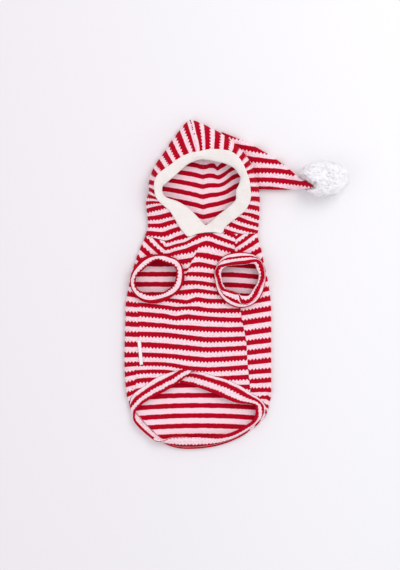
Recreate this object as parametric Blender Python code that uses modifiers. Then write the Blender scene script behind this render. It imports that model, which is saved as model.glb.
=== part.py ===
"""A hooded, sleeveless dog sweatshirt in striped knit, laid flat with its belly side up.

The back panel lies on the surface and wraps over both side folds onto the top. The belly panel,
the open armholes with their standing knit bands, the folded hem band round the open hem, the two
hood halves with their fleece face trim, the hood's long tail and its pompom are separate pieces.
Metres, +Z up, the hood's peak towards +Y, the origin under the middle of the piece's own box.
"""

import math
from bisect import bisect_right
from collections import namedtuple

import bmesh
import bpy
from mathutils import Vector

# Driving sizes
WALL = 0.0022  # one layer of the knit
BAND_WALL = 0.0044  # a folded band, two layers of the knit
BAND_BULGE = 0.0013  # how far an armhole band swells out over its seam
BAND_ROUND = 0.0018  # at its free edge
HEM_BAND_THIN = 0.0033  # the hem band, flattened
HEM_BAND_SWELL = 0.0009  # its outer layer over the seam
SEAM_GAP = 0.0003  # between pieces that are sewn to each other
FOLD_RADIUS = 0.005  # the cloth's turn from the surface up to a side fold
SHOULDER = 0.012  # width over which the top layer rounds down to a fold
TOP_HEIGHT = 0.0115  # the belly's outer face over the surface
NECK_RISE = 0.0025  # how much higher the cloth stands under the hood's V
NECK_RISE_AT = (-0.043, 0.070)
NECK_RISE_REACH = 0.040
NECK_CLEARANCE = 0.0008  # between the neck edges, which are cut at different places
HEM_TURN = 0.012  # last stretch of a panel, which bends into the hem seam
CUTTER_FROM = 0.0046  # the armhole cutters start above the lower layer
CUTTER_TO = 0.040
ARMHOLE_STEPS = 34
BACK_SEAM_X = -0.047  # the hood's centre back seam
BACK_SEAM_BEND = (0.190, 0.018)  # height where that seam leaves its line for the peak, and how far
MOUTH_CENTRE = (-0.055, -0.165)
TRIM_THICKNESS = 0.0062
TRIM_POINTS = 10
TRIM_DROOP = 0.55  # how far its inner edge hangs below its seam, in thicknesses
TRIM_ROUND = 0.8
TRIM_FOOT_GAP = 0.0018  # beside the hood's slanting edge at the neck
TRIM_STEEP_RISE = 0.012
PANEL_ROWS = 13
TURN_ROWS = 4
BELLY_HEM_STEPS = 2
HEM_CORNER = 1.7  # room for a panel's inner corner where its hem band leans over it
LABEL_TOP = (-0.1372, -0.0775)
LABEL_BOTTOM = (-0.1322, -0.1115)
LABEL_WIDTH = 0.0060
LABEL_STEPS = 5
LABEL_CLEARANCE = 0.0007
LABEL_THICKNESS = 0.0009

# The body's flat width, a row for each height: its silhouette, and the seams between back and belly
BodyRow = namedtuple("BodyRow", "y left right seam_left seam_right")
BODY_ROWS = (
    BodyRow(0.0790, -0.1245, 0.0295, -0.0975, -0.0010),
    BodyRow(0.0680, -0.1275, 0.0295, -0.0980, -0.0015),
    BodyRow(0.0580, -0.1315, 0.0320, -0.0990, -0.0020),
    BodyRow(0.0470, -0.1365, 0.0350, -0.1000, -0.0025),
    BodyRow(0.0285, -0.1430, 0.0385, -0.1095, 0.0005),
    BodyRow(0.0065, -0.1490, 0.0435, -0.1210, 0.0040),
    BodyRow(-0.0260, -0.1550, 0.0480, -0.1375, 0.0050),
    BodyRow(-0.0470, -0.1555, 0.0485, -0.1380, 0.0070),
    BodyRow(-0.0775, -0.1565, 0.0485, -0.1380, 0.0130),
    BodyRow(-0.1055, -0.1570, 0.0485, -0.1390, 0.0150),
    BodyRow(-0.1335, -0.1560, 0.0485, -0.1405, 0.0175),
    BodyRow(-0.1520, -0.1540, 0.0485, -0.1410, 0.0195),
    BodyRow(-0.1755, -0.1515, 0.0480, -0.1410, 0.0215),
    BodyRow(-0.2315, -0.1490, 0.0470, -0.1395, 0.0230),
)

# The neckline on top, from the left fold to the right one
NeckRow = namedtuple("NeckRow", "x y")
NECK_TOP = (
    NeckRow(-0.1310, 0.0695),
    NeckRow(-0.1140, 0.0650),
    NeckRow(-0.0990, 0.0615),
    NeckRow(-0.0820, 0.0645),
    NeckRow(-0.0675, 0.0665),
    NeckRow(-0.0545, 0.0700),
    NeckRow(-0.0430, 0.0720),
    NeckRow(-0.0325, 0.0720),
    NeckRow(-0.0205, 0.0720),
    NeckRow(-0.0015, 0.0710),
    NeckRow(0.0130, 0.0710),
    NeckRow(0.0330, 0.0715),
)
NECK_UNDER = (
    NeckRow(-0.1310, 0.0680),
    NeckRow(-0.0470, 0.0680),
    NeckRow(0.0330, 0.0715),
)

# Soft folds of the top layer: a ridge from one end to the other
Fold = namedtuple("Fold", "name x0 y0 x1 y1 rise reach")
FOLDS = (
    Fold("chest_tuck", -0.0525, 0.0475, -0.0665, 0.0175, 0.0030, 0.0085),
    Fold("chest_hollow", -0.0700, 0.0420, -0.0800, 0.0200, -0.0014, 0.0080),
    Fold("belly_pleat", -0.0700, -0.0200, -0.0840, -0.0480, 0.0016, 0.0080),
    Fold("shoulder_ridge", -0.1240, 0.0620, -0.0990, 0.0440, 0.0014, 0.0075),
    Fold("hem_ridge", -0.0720, -0.1140, -0.1200, -0.0930, 0.0014, 0.0100),
    Fold("side_ridge", 0.0080, -0.0330, 0.0130, -0.0900, 0.0010, 0.0090),
)

# The hem seam and the band beyond it, from the band's left end at the belly's peak, round the
# left fold, along the back and round the right fold to its right end under the peak.
# seam: the panel's outer face at the seam; edge: the band's free edge; flare: how far the panel's
# rolled edge stands out beyond the seam.
HemRow = namedtuple("HemRow", "seam_x seam_y seam_z edge_x edge_y edge_z flare")
HEM_LOOP = (
    HemRow(-0.0640, -0.1200, 0.0160, -0.0630, -0.1245, 0.0160, 0.0000),
    HemRow(-0.0700, -0.1185, 0.0154, -0.0680, -0.1305, 0.0158, 0.0000),
    HemRow(-0.0785, -0.1190, 0.0140, -0.0745, -0.1355, 0.0148, 0.0000),
    HemRow(-0.0905, -0.1220, 0.0126, -0.0855, -0.1415, 0.0134, 0.0000),
    HemRow(-0.1030, -0.1260, 0.0118, -0.0995, -0.1490, 0.0126, 0.0000),
    HemRow(-0.1150, -0.1320, 0.0114, -0.1120, -0.1550, 0.0121, 0.0000),
    HemRow(-0.1260, -0.1395, 0.0110, -0.1220, -0.1605, 0.0118, 0.0000),
    HemRow(-0.1360, -0.1465, 0.0108, -0.1305, -0.1660, 0.0116, 0.0000),
    HemRow(-0.1410, -0.1500, 0.0104, -0.1335, -0.1690, 0.0114, 0.0000),
    HemRow(-0.1450, -0.1540, 0.0094, -0.1365, -0.1720, 0.0110, 0.0000),
    HemRow(-0.1485, -0.1595, 0.0080, -0.1400, -0.1755, 0.0106, 0.0000),
    HemRow(-0.1505, -0.1655, 0.0055, -0.1425, -0.1790, 0.0100, 0.0000),
    HemRow(-0.1490, -0.1705, 0.0024, -0.1440, -0.1840, 0.0094, 0.0000),
    HemRow(-0.1440, -0.1755, 0.0004, -0.1445, -0.1890, 0.0086, 0.0000),
    HemRow(-0.1375, -0.1825, 0.0000, -0.1410, -0.1955, 0.0080, 0.0000),
    HemRow(-0.1280, -0.1935, 0.0000, -0.1335, -0.2035, 0.0080, 0.0000),
    HemRow(-0.1190, -0.2035, 0.0000, -0.1235, -0.2120, 0.0082, 0.0000),
    HemRow(-0.1100, -0.2130, 0.0012, -0.1125, -0.2195, 0.0112, 0.0012),
    HemRow(-0.1015, -0.2205, 0.0038, -0.1025, -0.2190, 0.0146, 0.0028),
    HemRow(-0.0905, -0.2250, 0.0062, -0.0925, -0.2150, 0.0148, 0.0036),
    HemRow(-0.0765, -0.2275, 0.0070, -0.0775, -0.2135, 0.0145, 0.0042),
    HemRow(-0.0580, -0.2275, 0.0070, -0.0580, -0.2135, 0.0140, 0.0042),
    HemRow(-0.0385, -0.2255, 0.0070, -0.0400, -0.2130, 0.0140, 0.0042),
    HemRow(-0.0190, -0.2210, 0.0070, -0.0220, -0.2110, 0.0143, 0.0042),
    HemRow(-0.0010, -0.2140, 0.0070, -0.0055, -0.2070, 0.0148, 0.0042),
    HemRow(0.0145, -0.2050, 0.0070, 0.0090, -0.2000, 0.0152, 0.0042),
    HemRow(0.0270, -0.1950, 0.0074, 0.0200, -0.1935, 0.0158, 0.0042),
    HemRow(0.0355, -0.1860, 0.0080, 0.0255, -0.1865, 0.0162, 0.0042),
    HemRow(0.0400, -0.1775, 0.0090, 0.0270, -0.1775, 0.0160, 0.0034),
    HemRow(0.0400, -0.1700, 0.0102, 0.0260, -0.1690, 0.0154, 0.0014),
    HemRow(0.0355, -0.1625, 0.0108, 0.0195, -0.1670, 0.0146, 0.0000),
    HemRow(0.0280, -0.1565, 0.0110, 0.0120, -0.1665, 0.0138, 0.0000),
    HemRow(0.0195, -0.1510, 0.0112, 0.0020, -0.1655, 0.0132, 0.0000),
    HemRow(0.0050, -0.1415, 0.0114, -0.0120, -0.1610, 0.0126, 0.0000),
    HemRow(-0.0120, -0.1335, 0.0115, -0.0260, -0.1545, 0.0120, 0.0000),
    HemRow(-0.0290, -0.1285, 0.0114, -0.0400, -0.1490, 0.0114, 0.0000),
    HemRow(-0.0470, -0.1230, 0.0106, -0.0540, -0.1440, 0.0100, 0.0000),
    HemRow(-0.0610, -0.1210, 0.0088, -0.0650, -0.1405, 0.0082, 0.0000),
    HemRow(-0.0710, -0.1220, 0.0074, -0.0735, -0.1380, 0.0074, 0.0000),
)
# Rows of the loop where the side seams meet it, and where the belly's peak lies between its arms
LEFT_SEAM_ROW = 8
RIGHT_SEAM_ROW = 32
PEAK_ROWS = (1, 36)
SIDE_SEAM_STEP = 0.04  # share of a row by which a panel's corner stops short of its side seam

# Where the left fold pinches the band: its place in the loop, its reach in rows, the share of the
# band's inner layer that goes, and how far the band then starts from the seam
HemPinch = namedtuple("HemPinch", "place reach share start")
HEM_PINCH = HemPinch(11.4, 1.4, 0.80, 0.0022)

# Columns of the back panel, in order from its left seam: how many cover each stretch
WRAP_COLUMNS = 3
SHOULDER_COLUMNS = 4
TURN_COLUMNS = 3
FLAT_COLUMNS = 12
# Rows of the hem loop that those columns run to
BACK_HEM_ROWS = (
    (LEFT_SEAM_ROW + SIDE_SEAM_STEP, 8.5, 9.0, 9.5)
    + (10.0, 10.5, 11.0, 11.5, 12.0, 12.5, 13.0)
    + (13.5, 14.5, 16.0, 18.0, 20.0, 21.5, 22.5, 24.0, 25.0, 26.5, 27.5, 28.0)
    + (28.4, 28.8, 29.2, 29.6, 30.0, 30.4, 30.8)
    + (31.2, 31.6, RIGHT_SEAM_ROW - SIDE_SEAM_STEP)
)

# The hood's halves, a row for each run of cloth from the face to the centre back seam.
# face: the trim's inner edge; rim: the trim's seam; side: the silhouette; back_y: on the back seam
HoodRow = namedtuple("HoodRow", "back_y side_x side_y rim_x rim_y rim_z face_x face_y")
HOOD_PEAK = HoodRow(0.2225, -0.0650, 0.2305, -0.0565, 0.1870, 0.0250, -0.0525, 0.1735)
HOOD_LEFT = (
    HoodRow(0.0680, -0.1280, 0.0680, -0.0675, 0.0670, 0.0140, -0.0470, 0.0845),
    HoodRow(0.0750, -0.1250, 0.0765, -0.0760, 0.0750, 0.0150, -0.0525, 0.0910),
    HoodRow(0.0835, -0.1240, 0.0840, -0.0820, 0.0840, 0.0165, -0.0590, 0.0980),
    HoodRow(0.0915, -0.1245, 0.0925, -0.0870, 0.0930, 0.0185, -0.0650, 0.1040),
    HoodRow(0.1000, -0.1255, 0.1015, -0.0930, 0.1020, 0.0210, -0.0735, 0.1110),
    HoodRow(0.1085, -0.1265, 0.1105, -0.1015, 0.1095, 0.0230, -0.0840, 0.1165),
    HoodRow(0.1170, -0.1265, 0.1185, -0.1085, 0.1160, 0.0250, -0.0955, 0.1205),
    HoodRow(0.1240, -0.1235, 0.1260, -0.1130, 0.1230, 0.0260, -0.1010, 0.1240),
    HoodRow(0.1315, -0.1225, 0.1315, -0.1145, 0.1310, 0.0270, -0.1035, 0.1300),
    HoodRow(0.1400, -0.1230, 0.1400, -0.1150, 0.1395, 0.0275, -0.1030, 0.1365),
    HoodRow(0.1490, -0.1210, 0.1490, -0.1130, 0.1490, 0.0280, -0.0985, 0.1405),
    HoodRow(0.1580, -0.1180, 0.1590, -0.1085, 0.1560, 0.0280, -0.0940, 0.1445),
    HoodRow(0.1675, -0.1135, 0.1675, -0.1015, 0.1625, 0.0275, -0.0875, 0.1500),
    HoodRow(0.1765, -0.1070, 0.1775, -0.0930, 0.1690, 0.0270, -0.0815, 0.1555),
    HoodRow(0.1855, -0.1000, 0.1865, -0.0840, 0.1760, 0.0265, -0.0750, 0.1615),
    HoodRow(0.1945, -0.0930, 0.1980, -0.0745, 0.1815, 0.0260, -0.0685, 0.1670),
    HoodRow(0.2030, -0.0855, 0.2080, -0.0675, 0.1845, 0.0255, -0.0630, 0.1700),
    HoodRow(0.2115, -0.0780, 0.2180, -0.0615, 0.1860, 0.0250, -0.0580, 0.1720),
    HoodRow(0.2185, -0.0715, 0.2255, -0.0580, 0.1870, 0.0250, -0.0545, 0.1730),
    HOOD_PEAK,
)
HOOD_RIGHT = (
    HoodRow(0.0680, 0.0295, 0.0715, -0.0205, 0.0720, 0.0140, -0.0390, 0.0845),
    HoodRow(0.0765, 0.0305, 0.0790, -0.0170, 0.0790, 0.0150, -0.0345, 0.0880),
    HoodRow(0.0845, 0.0310, 0.0870, -0.0105, 0.0855, 0.0170, -0.0275, 0.0950),
    HoodRow(0.0930, 0.0320, 0.0945, -0.0030, 0.0915, 0.0195, -0.0205, 0.1005),
    HoodRow(0.1015, 0.0320, 0.1020, 0.0050, 0.0975, 0.0220, -0.0135, 0.1065),
    HoodRow(0.1100, 0.0320, 0.1100, 0.0125, 0.1045, 0.0240, -0.0065, 0.1125),
    HoodRow(0.1185, 0.0325, 0.1185, 0.0175, 0.1135, 0.0255, -0.0015, 0.1185),
    HoodRow(0.1265, 0.0320, 0.1265, 0.0195, 0.1225, 0.0265, -0.0015, 0.1255),
    HoodRow(0.1350, 0.0310, 0.1350, 0.0190, 0.1325, 0.0275, -0.0010, 0.1315),
    HoodRow(0.1450, 0.0290, 0.1450, 0.0180, 0.1430, 0.0280, 0.0020, 0.1375),
    HoodRow(0.1545, 0.0260, 0.1545, 0.0155, 0.1535, 0.0280, 0.0055, 0.1445),
    HoodRow(0.1640, 0.0220, 0.1645, 0.0125, 0.1640, 0.0280, 0.0070, 0.1505),
    HoodRow(0.1730, 0.0175, 0.1740, 0.0075, 0.1735, 0.0275, 0.0025, 0.1560),
    HoodRow(0.1815, 0.0110, 0.1835, 0.0010, 0.1815, 0.0270, -0.0035, 0.1615),
    HoodRow(0.1890, 0.0025, 0.1925, -0.0070, 0.1870, 0.0265, -0.0115, 0.1660),
    HoodRow(0.1965, -0.0070, 0.2010, -0.0160, 0.1895, 0.0260, -0.0190, 0.1690),
    HoodRow(0.2045, -0.0170, 0.2085, -0.0265, 0.1905, 0.0255, -0.0275, 0.1705),
    HoodRow(0.2115, -0.0290, 0.2155, -0.0380, 0.1905, 0.0250, -0.0360, 0.1725),
    HoodRow(0.2170, -0.0420, 0.2220, -0.0475, 0.1890, 0.0250, -0.0435, 0.1735),
    HoodRow(0.2210, -0.0540, 0.2275, -0.0530, 0.1875, 0.0250, -0.0485, 0.1740),
    HOOD_PEAK,
)
HOOD_COLUMNS = 7  # from the rim over to the side fold
HOOD_NECK_ROWS = 4  # rows over which the hood leaves the body's height
PEAK_CUT_ROWS = 6
PEAK_CUT_DEEPER = 0.0010

# The trim's foot, where its two ends meet under the V
TrimRow = namedtuple("TrimRow", "rim_x rim_y rim_z face_x face_y")
TRIM_FOOT = (
    TrimRow(-0.0545, 0.0708, 0.0138, -0.0440, 0.0825),
    TrimRow(-0.0430, 0.0728, 0.0138, -0.0430, 0.0820),
    TrimRow(-0.0325, 0.0728, 0.0138, -0.0420, 0.0825),
)

# Armholes: the seam's and the free edge's distance from the centre, and the band's height
ArmholeRow = namedtuple("ArmholeRow", "angle seam edge stand")
Armhole = namedtuple("Armhole", "name x y rows")
ARMHOLES = (
    Armhole(
        "left",
        -0.1100,
        0.0075,
        (
            ArmholeRow(0, 0.0360, 0.0266, 0.0095),
            ArmholeRow(30, 0.0348, 0.0266, 0.0095),
            ArmholeRow(60, 0.0329, 0.0245, 0.0090),
            ArmholeRow(90, 0.0319, 0.0228, 0.0085),
            ArmholeRow(120, 0.0329, 0.0242, 0.0085),
            ArmholeRow(150, 0.0345, 0.0274, 0.0090),
            ArmholeRow(180, 0.0352, 0.0294, 0.0095),
            ArmholeRow(210, 0.0345, 0.0287, 0.0095),
            ArmholeRow(240, 0.0329, 0.0260, 0.0090),
            ArmholeRow(270, 0.0319, 0.0248, 0.0090),
            ArmholeRow(300, 0.0329, 0.0252, 0.0090),
            ArmholeRow(330, 0.0348, 0.0262, 0.0095),
        ),
    ),
    Armhole(
        "right",
        0.0040,
        0.0075,
        (
            ArmholeRow(0, 0.0340, 0.0262, 0.0105),
            ArmholeRow(30, 0.0355, 0.0285, 0.0110),
            ArmholeRow(60, 0.0365, 0.0270, 0.0105),
            ArmholeRow(90, 0.0364, 0.0249, 0.0095),
            ArmholeRow(120, 0.0361, 0.0259, 0.0095),
            ArmholeRow(150, 0.0351, 0.0270, 0.0100),
            ArmholeRow(180, 0.0330, 0.0245, 0.0105),
            ArmholeRow(210, 0.0312, 0.0216, 0.0100),
            ArmholeRow(240, 0.0300, 0.0205, 0.0100),
            ArmholeRow(270, 0.0362, 0.0214, 0.0120),
            ArmholeRow(300, 0.0338, 0.0245, 0.0115),
            ArmholeRow(330, 0.0325, 0.0278, 0.0105),
        ),
    ),
)

# The hood's tail, a row for each section from the hood's side to the tip
TailRow = namedtuple("TailRow", "upper_x upper_y lower_x lower_y bottom top")
TAIL_ROWS = (
    TailRow(-0.0205, 0.2130, 0.0330, 0.1345, 0.0000, 0.0070),
    TailRow(0.0030, 0.2030, 0.0410, 0.1343, 0.0000, 0.0098),
    TailRow(0.0215, 0.1940, 0.0520, 0.1340, 0.0000, 0.0115),
    TailRow(0.0410, 0.1825, 0.0630, 0.1340, 0.0000, 0.0116),
    TailRow(0.0635, 0.1675, 0.0760, 0.1342, 0.0005, 0.0120),
    TailRow(0.0845, 0.1515, 0.0890, 0.1350, 0.0055, 0.0165),
    TailRow(0.0985, 0.1430, 0.0995, 0.1360, 0.0130, 0.0218),
)
TAIL_SECTIONS = 10
TAIL_POINTS = 16
TAIL_ROUND = 0.7  # powers that shape its section: the edges, the top and the flat underside
TAIL_ROUND_TOP = 0.55
TAIL_ROUND_UNDER = 0.3
TAIL_WALL = 0.0018
TAIL_GAP = 0.0018  # off the hood's side
TAIL_ON_HOOD = (16.4, 8.0)  # rows of the hood's right half that its base spans

# Pompom: a dense ball of yarn whose locks stand out all over it
POMPOM_CENTRE = (0.1215, 0.1470, 0.0262)
POMPOM_BALL = (0.0215, 0.0208, 0.0205)
POMPOM_REACH = (0.0360, 0.0262, 0.0255)
POMPOM_LOCK_ROOT = 0.0007
POMPOM_FLOOR = 0.0008
POMPOM_BARE_STEP = 4  # one face of the ball in so many carries no lock
POMPOM_BARE_COSINE = 0.86  # no lock stands nearer than this to the way to the tail's tip
POMPOM_UNEVEN = 0.035
POMPOM_TURN = 2.4  # radians from one lock to the next, for their uneven lengths

# Colours as (red, green, blue), roughness
RED_KNIT = ((0.52, 0.006, 0.018), 0.85)
FLEECE = ((0.86, 0.80, 0.70), 0.95)
YARN = ((0.90, 0.89, 0.87), 0.95)
TAPE = ((0.88, 0.87, 0.86), 0.60)


def between(rows, at, key=None):
    """The row of a table at a place between its rows, each column on a smooth curve."""
    keys = [getattr(row, key) for row in rows] if key else list(range(len(rows)))
    if keys[0] > keys[-1]:
        keys.reverse()
        rows = rows[::-1]
    at = min(max(at, keys[0]), keys[-1])
    i = min(max(bisect_right(keys, at) - 1, 0), len(keys) - 2)
    span = keys[i + 1] - keys[i]
    t = (at - keys[i]) / span

    def slope(j, column):
        low, high = max(j - 1, 0), min(j + 1, len(keys) - 1)
        return (rows[high][column] - rows[low][column]) / (keys[high] - keys[low])

    values = []
    for column in range(len(rows[0])):
        first, second = rows[i][column], rows[i + 1][column]
        start, end = slope(i, column) * span, slope(i + 1, column) * span
        values.append(
            (2 * t**3 - 3 * t**2 + 1) * first
            + (t**3 - 2 * t**2 + t) * start
            + (3 * t**2 - 2 * t**3) * second
            + (t**3 - t**2) * end
        )
    return type(rows[0])(*values)


def smoothstep(value):
    value = min(max(value, 0.0), 1.0)
    return value * value * (3 - 2 * value)


def mix(first, second, share):
    return first + (second - first) * share


def rounded(distance):
    """Share of the full height at this distance in from a fold."""
    across = min(max(distance / SHOULDER, 0.0), 1.0)
    return math.sqrt(1 - (1 - across) ** 2)


def fold_height(x, y):
    total = 0.0
    for fold in FOLDS:
        run = Vector((fold.x1 - fold.x0, fold.y1 - fold.y0))
        place = Vector((x - fold.x0, y - fold.y0))
        along = place.dot(run) / run.length_squared
        past = (along - min(max(along, 0.0), 1.0)) * run.length
        across = abs(place.cross(run)) / run.length
        total += fold.rise * math.exp(-(across**2 + past**2) / fold.reach**2)
    return total


def top_height(x, y):
    """The body's outer top face over the surface."""
    row = between(BODY_ROWS, y, "y")
    from_neck = (x - NECK_RISE_AT[0]) ** 2 + (y - NECK_RISE_AT[1]) ** 2
    crown = TOP_HEIGHT + NECK_RISE * math.exp(-from_neck / NECK_RISE_REACH**2) + fold_height(x, y)
    return FOLD_RADIUS + (crown - FOLD_RADIUS) * rounded(x - row.left) * rounded(row.right - x)


def neck_y(rows, x):
    return between(rows, x, "x").y


def hem_seam(place):
    row = between(HEM_LOOP, place)
    return Vector((row.seam_x, row.seam_y, max(row.seam_z, 0.0)))


def turn_into_hem(start, place):
    """The last points of a column of cloth, from start over the rolled edge to the hem seam."""
    seam = hem_seam(place)
    outward = Vector((seam.x - MOUTH_CENTRE[0], seam.y - MOUTH_CENTRE[1], 0)).normalized()
    flare = between(HEM_LOOP, place).flare
    if flare < SEAM_GAP:
        corner = start.lerp(seam, 0.5)
    else:
        corner = seam + outward * 2 * flare
        corner.z = 0.0
    points = []
    for step in range(1, TURN_ROWS + 1):
        t = step / TURN_ROWS
        points.append(start * (1 - t) ** 2 + corner * 2 * t * (1 - t) + seam * t**2)
    return points


def back_sections():
    """Where each column of the back panel runs round the flat tube: a side, a kind and a share."""
    wrapped = [("wrap", step / WRAP_COLUMNS) for step in range(WRAP_COLUMNS)]
    wrapped += [("shoulder", 90 - 90 * step / SHOULDER_COLUMNS) for step in range(SHOULDER_COLUMNS)]
    wrapped += [("turn", 90 * step / TURN_COLUMNS) for step in range(TURN_COLUMNS)]
    across = [math.pi * step / FLAT_COLUMNS for step in range(FLAT_COLUMNS + 1)]
    return (
        [("left", kind, share) for kind, share in wrapped]
        + [("under", "flat", 0.5 - 0.5 * math.cos(angle)) for angle in across]
        + [("right", kind, share) for kind, share in reversed(wrapped)]
    )


def back_point(section, y):
    """A point of the back panel's outer face on this section line, at this height of the body."""
    side, kind, share = section
    row = between(BODY_ROWS, y, "y")
    if kind == "flat":
        return Vector((mix(row.left + FOLD_RADIUS, row.right - FOLD_RADIUS, share), y, 0.0))
    seam_in = (row.seam_left - row.left) if side == "left" else (row.right - row.seam_right)
    seam_in -= SEAM_GAP / 2
    angle = math.radians(share) if kind != "wrap" else 0.0
    if kind == "turn":
        depth = FOLD_RADIUS * (1 - math.cos(angle))
    elif kind == "shoulder":
        depth = SHOULDER * (1 - math.cos(angle))
    else:
        depth = mix(seam_in, SHOULDER, share)
    x = row.left + depth if side == "left" else row.right - depth
    if kind == "turn":
        return Vector((x, y, FOLD_RADIUS * (1 - math.sin(angle))))
    return Vector((x, y, top_height(x, y)))


def back_column(section, place):
    kind = section[1]
    rows = NECK_UNDER if kind in ("flat", "turn") else NECK_TOP
    neck = neck_y(rows, back_point(section, NECK_UNDER[0].y).x) - NECK_CLEARANCE
    start_y = hem_seam(place).y + HEM_TURN
    column = [
        back_point(section, mix(neck, start_y, step / PANEL_ROWS)) for step in range(PANEL_ROWS + 1)
    ]
    return column + turn_into_hem(column[-1], place)


def belly_hem_places():
    """Rows of the hem loop that the belly's columns run to, from the left seam to the right."""
    left_steps = (LEFT_SEAM_ROW - PEAK_ROWS[0]) * BELLY_HEM_STEPS
    right_steps = (PEAK_ROWS[1] - RIGHT_SEAM_ROW) * BELLY_HEM_STEPS
    left = [LEFT_SEAM_ROW - step / BELLY_HEM_STEPS for step in range(left_steps + 1)]
    right = [PEAK_ROWS[1] - step / BELLY_HEM_STEPS for step in range(right_steps + 1)]
    left[0] -= SIDE_SEAM_STEP
    right[-1] += SIDE_SEAM_STEP
    return left, right


def belly_column(end):
    """A column of the belly from the neckline to the hem seam's point."""
    start_y = end.y + HEM_TURN
    row = between(BODY_ROWS, start_y, "y")
    share = (end.x - row.seam_left) / (row.seam_right - row.seam_left)
    share = min(max(share, 0.0), 1.0)

    def x_at(y):
        sides = between(BODY_ROWS, y, "y")
        low, high = sides.seam_left + SEAM_GAP / 2, sides.seam_right - SEAM_GAP / 2
        return mix(low, high, share)

    neck = neck_y(NECK_TOP, x_at(NECK_UNDER[0].y)) - NECK_CLEARANCE
    column = []
    for step in range(PANEL_ROWS + 1):
        y = mix(neck, start_y, step / PANEL_ROWS)
        x = x_at(y)
        column.append(Vector((x, y, top_height(x, y))))
    last = column[-1]
    for step in range(1, TURN_ROWS + 1):
        column.append(last.lerp(end, step / TURN_ROWS))
    return column


def hood_column_shares():
    """From the rim over the side fold to the back seam: a kind and a share or an angle."""
    top = [("over", 90 - 90 * step / HOOD_COLUMNS) for step in range(HOOD_COLUMNS)]
    turn = [("turn", 90 * step / TURN_COLUMNS) for step in range(TURN_COLUMNS)]
    return top + turn + [("flat", step / TURN_COLUMNS) for step in range(TURN_COLUMNS + 1)]


def back_seam_x(y):
    start, sideways = BACK_SEAM_BEND
    share = (y - start) / (HOOD_PEAK.back_y - start)
    return BACK_SEAM_X - sideways * smoothstep(share)


def hood_point(rows, row_index, kind, share, clear):
    """A point of the hood's outer face; clear is the half's own side of the centre seams."""
    first, row = rows[0], rows[row_index]
    rim = Vector((row.rim_x + clear.x, row.rim_y, row.rim_z))
    side = Vector((row.side_x + clear.x, row.side_y, FOLD_RADIUS))
    back = Vector((back_seam_x(row.back_y) + clear.x, row.back_y, 0.0))
    under = (back - side).to_2d()
    if kind == "over":
        angle = math.radians(share)
        point = side.lerp(rim, 1 - math.cos(angle))
        point.z = mix(FOLD_RADIUS, row.rim_z, math.sin(angle))
        leave = 1 - min(row_index / HOOD_NECK_ROWS, 1.0)
        if leave > 0:
            inward = 1 - math.cos(angle)
            neck_x = mix(first.side_x, first.rim_x, inward)
            neck = neck_y(NECK_TOP, neck_x)
            point.y += (neck - mix(first.side_y, first.rim_y, inward)) * leave
            point.z = mix(point.z, top_height(neck_x, neck), leave)
        return point
    turned = side.to_2d() + under.normalized() * FOLD_RADIUS
    if kind == "turn":
        angle = math.radians(share)
        place = side.to_2d().lerp(turned, 1 - math.cos(angle))
        return Vector((place.x, place.y, FOLD_RADIUS * (1 - math.sin(angle))))
    place = turned.lerp(back.to_2d(), share)
    return Vector((place.x, place.y, 0.0))


def new_object(name, bm, material, collection):
    mesh = bpy.data.meshes.new(name)
    bm.to_mesh(mesh)
    bm.free()
    obj = bpy.data.objects.new(name, mesh)
    collection.objects.link(obj)
    if material is not None:
        mesh.materials.append(material)
    mesh.shade_smooth()
    return obj


def sheet_object(name, columns, material, collection):
    """An open sheet of cloth from its columns of points."""
    bm = bmesh.new()
    grid = [[bm.verts.new(point) for point in column] for column in columns]
    for left, right in zip(grid, grid[1:]):
        for row in range(len(left) - 1):
            bm.faces.new((left[row], left[row + 1], right[row + 1], right[row]))
    return new_object(name, bm, material, collection)


def loft_object(name, rings, material, collection, closed):
    """A closed body lofted through rings of points, closed on itself or capped at its ends."""
    bm = bmesh.new()
    loops = [[bm.verts.new(point) for point in ring] for ring in rings]
    pairs = list(zip(loops, loops[1:])) + ([(loops[-1], loops[0])] if closed else [])
    for first, second in pairs:
        for i in range(len(first)):
            j = (i + 1) % len(first)
            bm.faces.new((first[i], first[j], second[j], second[i]))
    if not closed:
        bm.faces.new(loops[0])
        bm.faces.new(loops[-1])
    bmesh.ops.recalc_face_normals(bm, faces=bm.faces)
    return new_object(name, bm, material, collection)


def add_wall(obj, thickness):
    wall = obj.modifiers.new("cloth_wall", "SOLIDIFY")
    wall.thickness = thickness
    wall.offset = -1
    wall.use_even_offset = True
    wall.use_quality_normals = True


def cut_away(obj, cutters):
    for cutter in cutters:
        cut = obj.modifiers.new(cutter.name, "BOOLEAN")
        cut.operation = "DIFFERENCE"
        cut.solver = "EXACT"
        cut.object = cutter


def material_of(name, finish):
    colour, roughness = finish
    material = bpy.data.materials.new(name)
    material.use_nodes = True
    shader = material.node_tree.nodes["Principled BSDF"]
    shader.inputs["Base Color"].default_value = (*colour, 1)
    shader.inputs["Roughness"].default_value = roughness
    shader.inputs["Metallic"].default_value = 0
    material.diffuse_color = (*colour, 1)
    return material


def armhole_at(armhole, angle):
    """The armhole's row at this angle in degrees, on a smooth closed curve."""
    rows = armhole.rows
    step = 360 / len(rows)
    padded = [rows[i % len(rows)]._replace(angle=i * step) for i in range(-2, len(rows) + 3)]
    return between(padded, angle % 360, "angle")


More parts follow.
